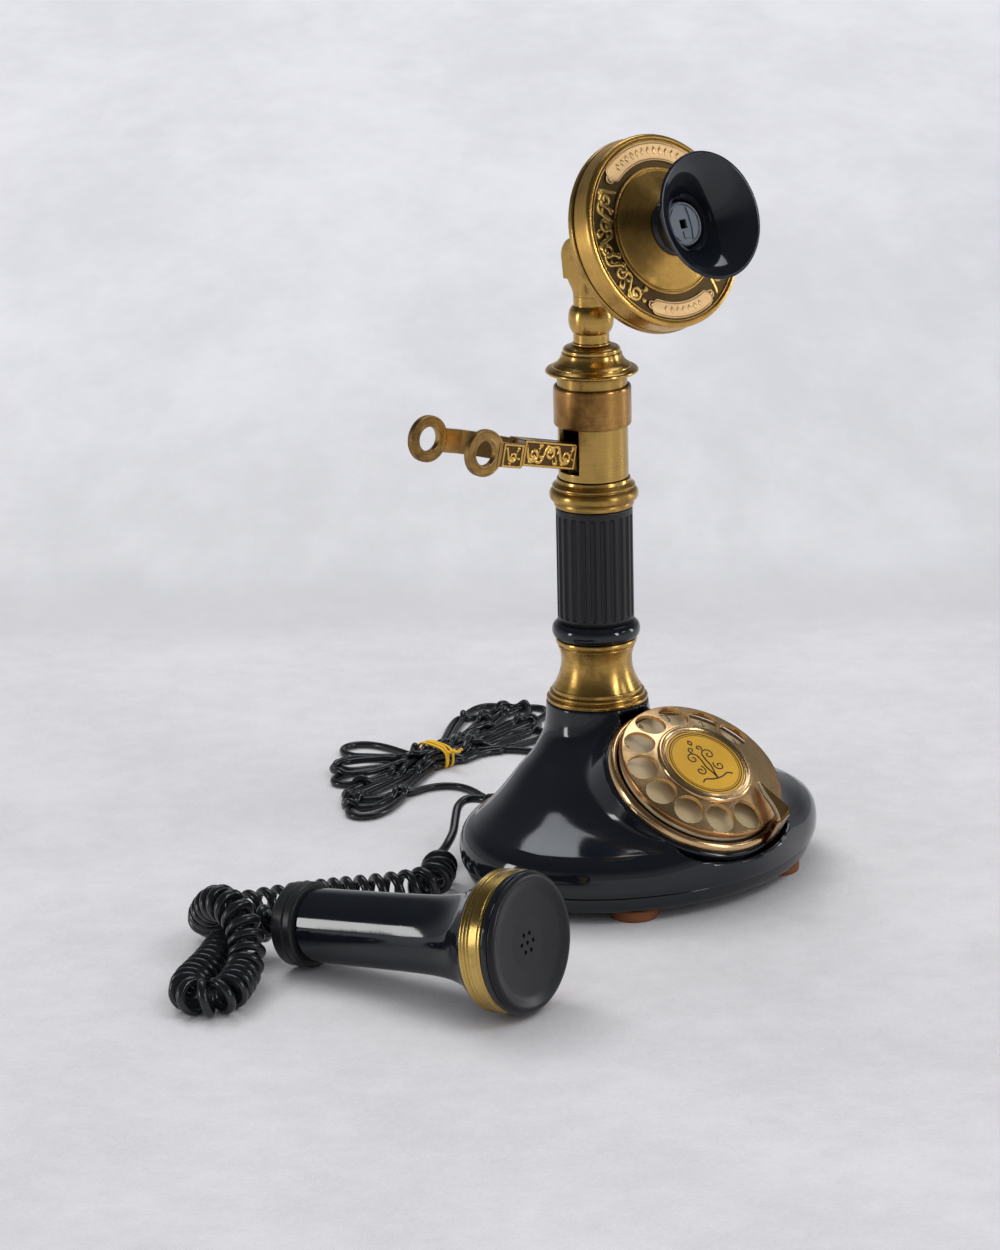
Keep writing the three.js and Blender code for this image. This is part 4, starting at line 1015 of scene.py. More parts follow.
def make_head():
    """The transmitter head: rear cup with its lug, bezel, scroll relief and two plates."""
    bowl = smooth([(41.5, 37.0), (39.6, 35.9), (35, 33.0), (30, 29.9), (24, 26.9),
                   (18, 24.4), (12, 22.4), (8.5, 21.3)], 4)
    turned("head_rear_cup_visual",
           [(39.6, 40.7), (39.2, 38.4), (35, 35.4), (28, 31.4), (18, 27), (0, 23.4), (0, 19.6)]
           + [(r, z, 0.1) for r, z in reversed(bowl)]
           + [(42.2, 37.6, 0.3), (42.6, 38.2, 0.4), (42.6, 40.2, 0.4), (42.2, 40.75, 0.3),
              (39.6, 40.75)],
           HEAD, "head", BRASS, "head_rear_cup", radius=0.2, steps=256)
    outline = [(-7.7, 22.8)]
    for k in range(25):
        t = math.pi * (1 + k / 24)
        outline.append((8 * math.cos(t), 8 * math.sin(t)))
    outline.append((7.7, 22.8))
    piece("head_lug", moved(prism(outline, -3.9, 3.9), ACROSS_X), HEAD, "head", BRASS,
          "head_rear_cup", bevel=0.4)
    turned("head_bezel_visual",
           [(9.8, 54.6), (26.6, 48.8), (39.0, 48.8), (39.0, 41.1), (41.8, 41.1, 0.2),
            (42.2, 41.6, 0.3), (42.2, 49.6, 0.9), (41.6, 50.8, 0.6), (40.3, 51.1, 0.5),
            (39.9, 50.6, 0.15), (39.8, 50.1, 0.1), (39.45, 50.1, 0.1), (39.3, 50.7, 0.2),
            (38.8, 50.75, 0.2), (38.6, 50.1, 0.1), (38.5, 49.7, 0.1), (27.7, 49.7, 0.1),
            (27.6, 50.6, 0.2), (26.8, 50.75, 0.3), (26.5, 50.2, 0.1), (26.0, 50.2, 0.1),
            (25.8, 50.85, 0.2), (25.3, 51.05, 0.2), (20, 52.9, 3), (15.4, 55.0, 2),
            (12.6, 56.5, 0.4), (9.8, 56.6)],
           HEAD, "head", HEAD_BRASS, "head_bezel", radius=0.2, closed=True, steps=256)
    rows, around = 34, 1080
    middle = (RELIEF_LOW + RELIEF_HIGH) / 2
    half = (RELIEF_HIGH - RELIEF_LOW) / 2 - 1.0
    radii = np.linspace(RELIEF_LOW, RELIEF_HIGH, rows)
    turn = np.linspace(0, 2 * math.pi, around, endpoint=False)
    r, a = np.meshgrid(radii, turn, indexing="ij")
    height = np.zeros(rows * around)
    for low, high, flip in ((138.0, 234.0, -1), (-56.0, 42.0, 1)):
        length = math.radians(high - low) * middle
        along = (np.degrees(a.ravel()) - low) % 360
        coords = np.stack([np.radians(along) * middle, flip * (r.ravel() - middle)], axis=1)
        height = np.maximum(height, carved(coords, running_scroll(0.5, 5, length / 5.1, half)))
    edge = np.clip(np.minimum(r.ravel() - RELIEF_LOW, RELIEF_HIGH - r.ravel()) / 0.5, 0, 1)
    height *= edge
    verts = np.stack([(r * np.cos(a)).ravel(), (r * np.sin(a)).ravel(),
                      RELIEF_FLOOR + 0.6 * height], axis=1)
    with_height(piece("head_scroll_relief", (verts, grid(rows, around, around=True)), HEAD,
                      "head", RELIEF_BRASS, "head_bezel", weighted=False), height)
    for name, (low, high, radius, wide) in PLATES.items():
        cartouche(name, low, high, radius, wide)


def cartouche(name, low, high, radius, wide):
    """A blank riveted plate bent round the head, with a border and a row of lozenges."""
    length = math.radians(high - low) * radius
    s = np.linspace(0, length, 300)
    t = np.minimum(s, length - s)
    tongue = 0.56 * np.sqrt(np.clip(1 - (1 - np.clip(t / 2.4, 0, 1)) ** 2, 0, 1))
    shoulder = 0.44 * np.clip((t - 2.9) / 1.9, 0, 1) ** 0.5
    reach = wide * (tongue + shoulder)
    v = np.linspace(-1, 1, 44)
    ss, vv = np.meshgrid(s, v, indexing="ij")
    w = vv * reach[:, None]
    inset = np.minimum((reach[:, None] - np.abs(w)), np.minimum(ss, length - ss) * 0.8)
    top = 0.55 * np.clip(inset / 0.35, 0, 1) ** 0.5
    line = np.exp(-((inset - 0.95) / 0.2) ** 2)
    raised = np.clip(inset / 0.5, 0.25, 1) - 0.75 * line
    top -= 0.12 * line
    step = 3.3
    count = int((length - 14) / step)
    first = length / 2 - step * (count - 1) / 2
    for i in range(count):
        x = first + i * step
        away = (np.abs(ss - x) / 1.15 + np.abs(w) / (0.42 * wide))
        top += 0.22 * np.clip((1 - away) / 0.35, 0, 1)
        # painted shade: a dark ring just outside each lozenge, where the plate itself stays
        # flat
        raised -= 0.7 * np.exp(-((away - 1.08) / 0.12) ** 2)
    for x in (2.0, length - 2.0):
        away = np.hypot(ss - x, w) / 0.75
        top += 0.35 * np.sqrt(np.clip(1 - away ** 2, 0, 1))
        # painted shade: a dark ring round each rivet head
        raised -= 0.8 * np.exp(-((away - 1.15) / 0.15) ** 2)
    angle = math.radians(low) + ss / radius
    outward = radius + w
    verts = np.stack([(outward * np.cos(angle)).ravel(), (outward * np.sin(angle)).ravel(),
                      (RELIEF_FLOOR + 0.25 + top).ravel()], axis=1)
    skirt = np.stack([verts[:, 0], verts[:, 1], np.full(len(verts), RELIEF_FLOOR - 0.1)], 1)
    shape = thicken([tuple(p) for p in verts], [tuple(p) for p in skirt],
                    grid(len(s), len(v)))
    values = np.concatenate([raised.ravel(), np.full(len(verts), 0.1)])
    with_height(piece("head_plate_" + name, shape, HEAD, "head", PLATE, "head_bezel",
                      weighted=False), values)


make_head()


# ---------------------------------------------------------------- dial
HOLE_R, HOLE_CIRCLE_R, HOLE_FIRST, HOLE_STEP = 6.75, 30.0, 23.0, 27.95
WHEEL_IN, WHEEL_OUT = 22.2, 37.3
wheel_table = np.array([(20, 4.2), (22.2, 4.0), (23.6, 3.8), (30, 2.35), (36.4, 0.75),
                        (37.3, 0.5), (38, 0.2)])


def wheel_height(x, y):
    """Height of the finger wheel's coned top at a point."""
    return float(np.interp(math.hypot(x, y), wheel_table[:, 0], wheel_table[:, 1]))


def wheel_plan():
    """Top surface of the finger wheel as clean patches, one round each hole."""
    radii = list(np.linspace(WHEEL_IN, WHEEL_OUT, 11))
    verts, faces = [], []

    def polar(r, degrees):
        t = math.radians(degrees)
        return (r * math.cos(t), r * math.sin(t))
    for i in range(10):
        middle = HOLE_FIRST + i * HOLE_STEP
        lo, hi = middle - HOLE_STEP / 2, middle + HOLE_STEP / 2
        arc = list(np.linspace(lo, hi, 15))
        edge = ([polar(r, lo) for r in radii[:-1]] + [polar(WHEEL_OUT, d) for d in arc[:-1]]
                + [polar(r, hi) for r in radii[:0:-1]] + [polar(WHEEL_IN, d)
                                                          for d in arc[:0:-1]])
        centre = Vector(polar(HOLE_CIRCLE_R, middle))
        offset, count = len(verts), len(edge)
        parts = (0, 0.1, 0.25, 0.5, 0.75, 1)
        for part in parts:
            for point in edge:
                away = Vector(point) - centre
                start = centre + away.normalized() * HOLE_R
                p = start.lerp(Vector(point), part)
                verts.append((p.x, p.y, wheel_height(p.x, p.y)))
        faces += [tuple(k + offset for k in f) for f in grid(len(parts), count, around=True)]
    start = HOLE_FIRST + 9.5 * HOLE_STEP
    stop = HOLE_FIRST - HOLE_STEP / 2 + 360
    arc = np.linspace(start, stop, 42)
    offset = len(verts)
    for d in arc:
        for r in radii:
            x, y = polar(r, d)
            verts.append((x, y, wheel_height(x, y)))
    faces += [tuple(k + offset for k in f) for f in grid(len(arc), len(radii))]
    return verts, faces


def make_dial():
    """Finger wheel, label, number plate with its figures, bezel and finger stop."""
    verts, faces = wheel_plan()
    work = bmesh.new()
    made = [work.verts.new(v) for v in verts]
    for f in faces:
        work.faces.new([made[i] for i in f])
    bmesh.ops.remove_doubles(work, verts=work.verts, dist=0.005)
    bmesh.ops.recalc_face_normals(work, faces=work.faces)
    top, faces = read_back(work)
    under = [(x, y, z - 1.9) for x, y, z in top]
    piece("finger_wheel_visual", thicken(top, under, faces), DIAL, "dial_rotor", WHEEL,
          "finger_wheel", bevel=0.32)
    turned("finger_wheel_rim",
           [(36.6, -2.5), (37.75, -2.5, 0.2), (37.9, -0.9, 0.2), (38.0, -0.2, 0.35),
            (37.6, 0.5, 0.35), (37.0, 0.5, 0.2), (36.6, -0.4)],
           DIAL, "dial_rotor", WHEEL_SIDE, "finger_wheel", radius=0.2, closed=True, steps=192)
    turned("finger_wheel_hub_ring",
           [(3.1, 1.0), (22.3, 1.0), (22.3, 4.0, 0.2), (22.15, 4.7, 0.3), (21.4, 5.3, 0.5),
            (20.3, 5.2, 0.3), (19.7, 4.7, 0.2), (19.1, 4.65, 0.15), (18.8, 5.05, 0.15),
            (18.3, 5.05, 0.15), (18.25, 4.25), (3.1, 4.2)],
           DIAL, "dial_rotor", CHAMPAGNE_RING, "finger_wheel", radius=0.15, closed=True,
           steps=192)
    turned("label_disc_visual", [(0, 4.3), (18.05, 4.3), (18.05, 4.75, 0.1), (17.9, 4.86, 0.1),
                                 (9, 4.9), (0, 4.9)],
           DIAL, "dial_rotor", LABEL, "label_disc", radius=0.05, steps=160)
    piece("label_ornament", label_ornament(), DIAL, "dial_rotor", INK, "label_disc",
          weighted=False)
    turned("dial_bezel_visual",
           [(37.0, -9.0), (40.4, -9.0, 0.3), (40.75, -7.4, 1.2), (40.2, -5.6, 1.2),
            (39.0, -4.9, 0.8), (37.9, -5.2, 0.5), (37.2, -6.2, 0.3)],
           DIAL, "stand", CHAMPAGNE_RING, "dial_bezel", radius=0.3, closed=True, steps=192)
    turned("number_plate_visual",
           [(4.5, -5.3), (36.4, -5.3), (36.4, -4.4, 0.3), (35.9, -4.0, 0.2), (26, -4.1),
            (4.5, -4.1)],
           DIAL, "stand", NUMBER_PLATE, "number_plate", radius=0.1, closed=True, steps=160)
    for i in range(10):
        digit(i)
    stop = fillet([(16.46, -18.3, 0.4), (15.0, -24.5, 6), (14.2, -31.2, 6), (12.6, -37, 3),
                   (11.2, -40.0, 0.8), (17.8, -38.2, 1.0), (22.2, -35.4, 1.2),
                   (21, -30.8, 5), (19.4, -24.6, 6), (18.2, -19.0, 0.5)], 0.5, closed=True)
    tab = fillet([(20, -38.2), (17.0, -35.6), (11.2, -38.0), (9.6, -41.2), (13.6, -40.4)],
                 0.5, closed=True)
    ridge = smooth([(16.6, -18.4, 5.75), (15.3, -24.5, 5.9), (14.5, -31.2, 5.95),
                    (13.0, -37, 5.9), (11.8, -39.6, 5.7)], 8)
    piece("finger_stop_visual",
          combine(prism(stop, 4.6, 5.7), prism(tab, -8.6, 5.6)),
          DIAL, "stand", STOP_BRASS, "finger_stop", bevel=0.3)
    piece("finger_stop_edge", tube_along(ridge, 0.72, 14), DIAL, "stand", STOP_EDGE_POLISH_AND_HIGHLIGHT,
          "finger_stop")


def digit(i):
    """The figure printed on the number plate under one finger hole."""
    text = bpy.data.curves.new("figure_%d" % i, "FONT")
    text.body = str((i + 1) % 10)
    text.size = 4.6 * MM
    text.align_x = text.align_y = "CENTER"
    text.extrude = 0.02 * MM
    holder = bpy.data.objects.new("figure", text)
    mesh = bpy.data.meshes.new_from_object(holder)
    bpy.data.objects.remove(holder)
    mesh.materials.clear()
    mesh.materials.append(INK)
    turn = math.radians(HOLE_FIRST + i * HOLE_STEP - 3)
    obj = bpy.data.objects.new("number_plate_figure_%d" % i, mesh)
    bpy.context.scene.collection.objects.link(obj)
    obj.matrix_world = DIAL @ Matrix.Translation((34.0 * MM * math.cos(turn),
                                                  34.0 * MM * math.sin(turn), -3.97 * MM))
    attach(obj, "stand")
    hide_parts("number_plate")


def label_ornament():
    """Fine printed lines: two border rings and a plain symmetrical flourish."""
    height = 4.89
    lines = []
    for r, wide in ((16.9, 0.24), (15.9, 0.14)):
        ring = [(r * math.cos(t), r * math.sin(t), height)
                for t in np.linspace(0, 2 * math.pi, 97)]
        lines.append(tube_along(ring, wide, 6, caps=False))
    for side in (-1, 1):
        for centre, outer, start, sense, turns in (
                ((4.6, 3.6), 3.4, math.pi * 0.95, -1, 1.25), ((5.4, -3.4), 2.9, 2.2, 1, 1.2),
                ((2.2, 8.2), 1.7, -1.2, 1, 1.0)):
            points, _ = spiral(centre, outer, 0.5, turns, start, sense, 1)
            lines.append(tube_along([(side * x, y, height) for x, y in points], 0.3, 6))
        stem = smooth([(0, -9.5), (0.5, -6), (1.4, -2.5), (1.2, 1), (1.35, 4.5)], 8)
        lines.append(tube_along([(side * x, y, height) for x, y in stem], 0.34, 6))
        base = smooth([(0, -9.5), (3, -9.2), (6.5, -8.2), (8.8, -9.4)], 8)
        lines.append(tube_along([(side * x, y, height) for x, y in base], 0.34, 6))
    lozenge = [(0, 10.4), (1.1, 11.9), (0, 13.4), (-1.1, 11.9), (0, 10.4)]
    lines.append(tube_along([(x, y, height) for x, y in even(lozenge, 0.3)], 0.28, 6))
    return combine(*lines)


make_dial()


# ---------------------------------------------------------------- switch hook
FORK_OUT, ARM, EYE_X, EYE_R, EYE_HOLE = 20.0, 3.0, -81.7, 10.2, 5.4


def panel(name, x0, x1, half, y, units, pitch, outward):
    """A framed scroll panel standing on a side face of the hook."""
    columns, rows = int((x1 - x0) * 7), 74
    x, z = np.meshgrid(np.linspace(x0, x1, columns), np.linspace(-half, half, rows),
                       indexing="ij")
    x, z = x.ravel(), z.ravel()
    inset = np.minimum(np.minimum(x - x0, x1 - x), half - np.abs(z))
    frame_up = np.clip((1.15 - inset) / 0.2, 0, 1) * np.clip(inset / 0.25, 0, 1) ** 0.5
    coords = np.stack([x, z], axis=1)
    middle = (x0 + x1) / 2
    strokes = running_scroll(middle - units * pitch / 2, units, pitch, half - 1.2)
    scroll = carved(coords, strokes) * np.clip((inset - 1.15) / 0.3, 0, 1)
    raised = np.maximum(frame_up, scroll)
    floor = 0.12
    lift = floor + 0.5 * np.maximum(frame_up * 0.9, scroll)
    verts = np.stack([x, y + outward * lift, z], axis=1)
    backs = np.stack([x, np.full(len(x), y - outward * 0.3), z], axis=1)
    shape = thicken([tuple(p) for p in verts], [tuple(p) for p in backs],
                    grid(columns, rows))
    values = np.concatenate([raised, np.full(len(raised), 0.3)])
    with_height(piece(name, shape, HOOK, "hook", HOOK_RELIEF, "hook_lever",
                      weighted=False), values)


def make_hook():
    """The switch hook: bar, forked arms with an eye each, and its framed panels."""
    bar = prism([(8, -5.6), (8, 5.6), (-46.6, 5.6), (-46.6, -5.6)], -4.9, 4.9)
    bar = moved(bar, ACROSS_Y)
    arms = []
    for side in (1, -1):
        outer = smooth([(-44.5, 4.9), (-47.6, 6.2), (-51.6, 10.6), (-55.6, 15.2),
                        (-59.0, 18.4), (-62.4, 20.0)], 5) + [(-74.5, FORK_OUT)]
        inner = [(-74.5, FORK_OUT - ARM)] + smooth([(-63.4, 17.0), (-60.4, 15.7),
                                                    (-57.2, 12.4), (-53.2, 7.8),
                                                    (-49.6, 3.6), (-47.4, 1.6)], 5)
        outline = [(x, side * y) for x, y in outer + inner + [(-44.5, 1.6)]]
        arms.append(prism(outline if side > 0 else outline[::-1], -5.2, 5.2))
        rim = [(EYE_HOLE, -1.2, 0.3), (EYE_HOLE + 0.4, -1.5, 0.2), (EYE_HOLE + 1.1, -1.5, 0.2),
               (EYE_HOLE + 1.4, -1.2, 0.1), (EYE_R - 1.1, -1.2, 0.1), (EYE_R - 0.8, -1.5, 0.2),
               (EYE_R - 0.2, -1.5, 0.3), (EYE_R, -1.1, 0.3)]
        ring = rim + [(r, -z, *more) for r, z, *more in reversed(rim)]
        eye = lathe(fillet(ring, 0.2, closed=True), 96, closed=True)
        place = Matrix.Translation((EYE_X, side * (FORK_OUT - ARM / 2), 0)) @ ACROSS_Y
        arms.append(moved(eye, place))
    piece("hook_lever_visual", combine(bar, *arms), HOOK, "hook", HOOK_BRASS, "hook_lever",
          bevel=0.35)
    panel("hook_panel_long", -46.4, -15.6, 5.7, -4.9, 3, 9.6, -1)
    panel("hook_panel_long_far", -46.4, -15.6, 5.7, 4.9, 3, 9.6, 1)
    panel("hook_panel_short", -72.4, -60.8, 5.2, -FORK_OUT, 1, 7.2, -1)


make_hook()


# ---------------------------------------------------------------- line cord
LINE_R = 1.6
LINE_FLOOR = LINE_R + 0.15
TIE = np.array((35.5, 154.5))  # where the twist tie holds the strands together
LEFT_LOOPS = [(-34, 138), (-48.7, 115.3), (-24, 162), (-3.6, 184), (17, 203), (-42, 127),
              (-14, 174)]
RIGHT_LOOPS = [(104, 153.3), (130, 184), (97.9, 194.8), (116, 203), (112, 168),
               (124, 192)]
STRAND_SLOTS = [(-7, 1.95), (-5.25, 5.0), (-3.5, 1.95), (-1.75, 5.0), (0, 1.95),
                (1.75, 5.0), (3.5, 1.95), (5.25, 5.0), (7, 1.95), (3.5, 8.05), (-3.5, 8.05),
                (0, 8.05), (8.7, 5.0)]
LOOP_R = 10.5


def teardrop(end, layer, side, whole=True):
    """Points out to a loop's round end and back towards the tie."""
    end = np.array(end, float)
    ahead = end - TIE
    reach = np.linalg.norm(ahead)
    ahead /= reach
    across = np.array((-ahead[1], ahead[0])) * side
    z = 1.95 + 3.3 * layer
    out = [TIE + ahead * reach * 0.34 + across * 3.4,
           TIE + ahead * reach * 0.6 + across * LOOP_R * 0.8,
           end - ahead * LOOP_R + across * LOOP_R,
           end - ahead * LOOP_R * 0.29 + across * LOOP_R * 0.71,
           end,
           end - ahead * LOOP_R * 0.29 - across * LOOP_R * 0.71,
           end - ahead * LOOP_R - across * LOOP_R,
           TIE + ahead * reach * 0.6 - across * LOOP_R * 0.8,
           TIE + ahead * reach * 0.34 - across * 3.4]
    return [(p[0], p[1], z) for p in (out if whole else out[2:])]


def line_route():
    """Centre line of the line cord: out of the base, through the hank, to the plug."""
    route = [tuple(LINE_BUSH + Vector((0, d, 0))) for d in (-6, 0, 6, 11)]
    route += [(0.4, 59.5, 17.4), (2, 66.5, 10.6), (5, 75, 4.2), (9, 84, 1.95),
              (14, 95, 1.95), (18, 108, 1.95), (19, 118, 1.95), (13, 125, 1.95),
              (2, 127, 1.95), (-12, 126.5, 1.95)]
    route += teardrop(LEFT_LOOPS[0], 0, 1, whole=False)[1:]
    last = len(STRAND_SLOTS) - 1
    for i in range(last + 1):
        dy, z = STRAND_SLOTS[i]
        gate = [(TIE[0] + dx, TIE[1] + dy, z) for dx in (-7, 0, 7)]
        if i % 2 == 0:
            route += gate
            if i < last:
                route += teardrop(RIGHT_LOOPS[i // 2], i // 2, -1)
        else:
            route += gate[::-1]
            route += teardrop(LEFT_LOOPS[i // 2 + 1], i // 2 + 1, -1)
    route += [(54, 158.5, 3), (67, 152, 1.95), (76, 141, 1.95), (79.6, 129, 2.4),
              (80, 121, 3.2)]
    return route


def settle(line, radius, spacing, rounds):
    """Lets a cord sink under its weight while its strands keep clear of each other."""
    p = line.copy()
    count = len(p)
    flat = p[:, :2] - TIE
    gate = (np.abs(flat[:, 0]) < 6.5) & (np.abs(flat[:, 1]) < 9.5)
    held = gate | (np.arange(count) < 27) | (np.arange(count) > count - 5)
    free = (~held).astype(float)[:, None]
    apart = 2 * radius + 0.12
    index = np.arange(count)
    far = np.abs(index[:, None] - index[None]) > 5
    for turn in range(rounds):
        p[:, 2] -= 0.07 * free[:, 0]
        p[1:-1] += 0.12 * (p[:-2] + p[2:] - 2 * p[1:-1]) * free[1:-1]
        for _ in range(3):
            step = p[1:] - p[:-1]
            size = np.linalg.norm(step, axis=1)[:, None]
            fix = step * (1 - spacing / size) * 0.5
            p[:-1] += fix * free[:-1]
            p[1:] -= fix * free[1:]
        if turn % 2 == 0 or turn > rounds - 12:
            gap = p[:, None] - p[None]
            size = np.sqrt((gap ** 2).sum(2)) + 1e-6
            close = far & (size < apart)
            push = np.where(close, (apart - size) / size * 0.45, 0)
            p += (gap * push[:, :, None]).sum(1) * free
        p[:, 2] = np.where(free[:, 0] > 0, np.maximum(p[:, 2], radius + 0.2), p[:, 2])
    return p


def make_line_cord():
    """The line cord with its hank, the twist tie round it and the plug at its end."""
    spacing = 2.6
    start = even(smooth(line_route(), 10), spacing)
    spacing = float(np.linalg.norm(np.diff(start, axis=0), axis=1).mean())
    line = settle(start, LINE_R, spacing, 260)
    line = np.array(smooth(line, 3))
    line[:, 2] = np.maximum(line[:, 2], LINE_FLOOR)
    cord = piece("line_cord_wire", tube_along(line, LINE_R, 14), STAND, "stand", CORD,
                 ("line_cord", "line_cord_hank"), weighted=False, slot="cord_black")
    wraps = []
    half_y, half_z, middle_z = 10.2, 5.3, 5.0
    for t in np.linspace(0, 2 * math.pi * 3.2, 300):
        c, s = math.cos(t - 0.6), math.sin(t - 0.6)
        drift = 2.3 * math.sin(t * 0.31 + 0.4) - 0.8
        wraps.append((TIE[0] + drift,
                      TIE[1] + half_y * math.copysign(abs(c) ** 0.62, c),
                      max(0.75, middle_z + half_z * math.copysign(abs(s) ** 0.62, s))))
    tie = [tube_along(even(smooth(wraps[::4], 6), 0.7), 0.62, 10)]
    knot = Vector((TIE[0] - 0.5, TIE[1] - 9.6, 8.6))
    for sign in (-1, 1):
        tail = [tuple(knot + Vector((sign * (0.7 * math.cos(k * 0.9)) + sign * k * 0.12,
                                     -0.9 * k, 0.55 * math.sin(k * 0.9) * sign + 0.25 * k)))
                for k in range(11)]
        tie.append(tube_along(smooth(tail, 5), 0.6, 10))
    wrap = piece("twist_tie_visual", combine(*tie), STAND, "stand", YELLOW, "twist_tie",
                 weighted=False)
    block = prism(fillet([(75, 96.5), (85, 96.5), (85, 114), (75, 114)], 0.7, closed=True),
                  0.4, 6.9)
    nose = prism(fillet([(76.5, 88), (83.5, 88), (83.5, 97), (76.5, 97)], 0.4, closed=True),
                 0.4, 5.8)
    clip = prism(fillet([(77.8, 90), (82.2, 90), (82.6, 107), (77.4, 107)], 0.5,
                        closed=True), 7.2, 8.0)
    hinge = prism([(78, 90), (82, 90), (82, 92), (78, 92)], 5.4, 7.6)
    relief = moved(lathe(fillet([(0, 0), (2.9, 0), (2.9, 1.2), (2.5, 1.6), (2.6, 3.4),
                                 (2.2, 3.8), (2.3, 5.6), (1.9, 6.2), (1.9, 9.4), (0, 9.4)],
                                0.3), 32),
                   Matrix.Translation((80, 114, 3.0)) @ Matrix.Rotation(-math.pi / 2, 4, "X"))
    plug = piece("line_plug_visual", combine(block, nose, clip, hinge, relief), STAND,
                 "stand", CLEAR, "line_plug", bevel=0.2)
    contacts = [prism([(77.2 + k * 1.5, 88.2), (77.7 + k * 1.5, 88.2),
                       (77.7 + k * 1.5, 91.5), (77.2 + k * 1.5, 91.5)], 0.35, 0.7)
                for k in range(4)]
    pins = piece("line_plug_contacts", combine(*contacts), STAND, "stand", LABEL_GOLD,
                 "line_plug", weighted=False)


def cord_bush(name, entry, out, cord_r):
    """Strain relief: a flanged bush with a ribbed, tapering tail round the cord."""
    bore = cord_r + 0.12
    profile = [(bore, -7.6), (5.4, -7.6, 0.3), (5.4, -6.4, 0.3), (4, -6.4), (4, 1.0),
               (5.1, 1.3, 0.3), (5.1, 2.5, 0.4), (4.3, 2.9, 0.2)]
    for k in range(3):
        z = 3.7 + 2.0 * k
        r = 4.25 - 0.45 * k
        profile += [(r - 0.6, z, 0.15), (r, z + 0.4, 0.25), (r, z + 1.1, 0.25),
                    (r - 0.6, z + 1.5, 0.15)]
    profile += [(bore + 0.5, 10.0, 0.2), (bore, 10.0)]
    shape = lathe(fillet(profile, 0.2, closed=True), 64, closed=True)
    turn = Vector((0, 0, 1)).rotation_difference(out).to_matrix().to_4x4()
    piece(name + "_visual", moved(shape, Matrix.Translation(entry) @ turn), STAND, "stand",
          SATIN, name)


make_line_cord()
cord_bush("receiver_cord_bush", RECEIVER_BUSH, RECEIVER_BUSH_OUT, WIRE_R)
cord_bush("line_cord_bush", LINE_BUSH, Vector((0, 1, 0)), LINE_R)


# ---------------------------------------------------------------- remaining CAD pieces
def finish_cad_nodes():
    """Every piece still drawn from the CAD gets a finish of its own."""
    steel = brass("tool_steel", rgb(176, 177, 180), rgb(96, 96, 100), patina=0.3)
    bell = brass("bell_metal", rgb(206, 168, 92), rgb(120, 88, 44), patina=0.2)
    wire = brass("copper_wire", rgb(186, 104, 58), rgb(104, 54, 30), patina=0.4)
    iron = plastic("cast_iron", (0.05, 0.05, 0.052, 1.0), 0.7, 0.15, 5.0)
    board = plastic("circuit_board", rgb(38, 84, 58), 0.45, 0.1, 0.6)
    switch = plastic("switch_black", (0.01, 0.01, 0.011, 1.0), 0.4, 0.1, 0.5)
    finishes = {
        "base_weight": iron, "gong_1": bell, "gong_2": bell, "ringer_coil": wire,
        "circuit_board": board, "hook_switch": switch, "switch_plunger": CLEAR,
        "drive_gear": bell, "governor": bell,
    }
    for name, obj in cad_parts.items():
        if not obj.hide_render:
            obj.data.materials.clear()
            obj.data.materials.append(finishes.get(name, steel))


finish_cad_nodes()


# ---------------------------------------------------------------- stage and light
WALL_FROM = 0.4  # metres behind the piece where the table's tone turns into the wall's
SKY_DIFFUSE, SKY_HORIZON, SKY_TOP = 0.77, 0.4, 0.06
LIGHT_AIM = Vector((0.03, 0.02, 0.12))


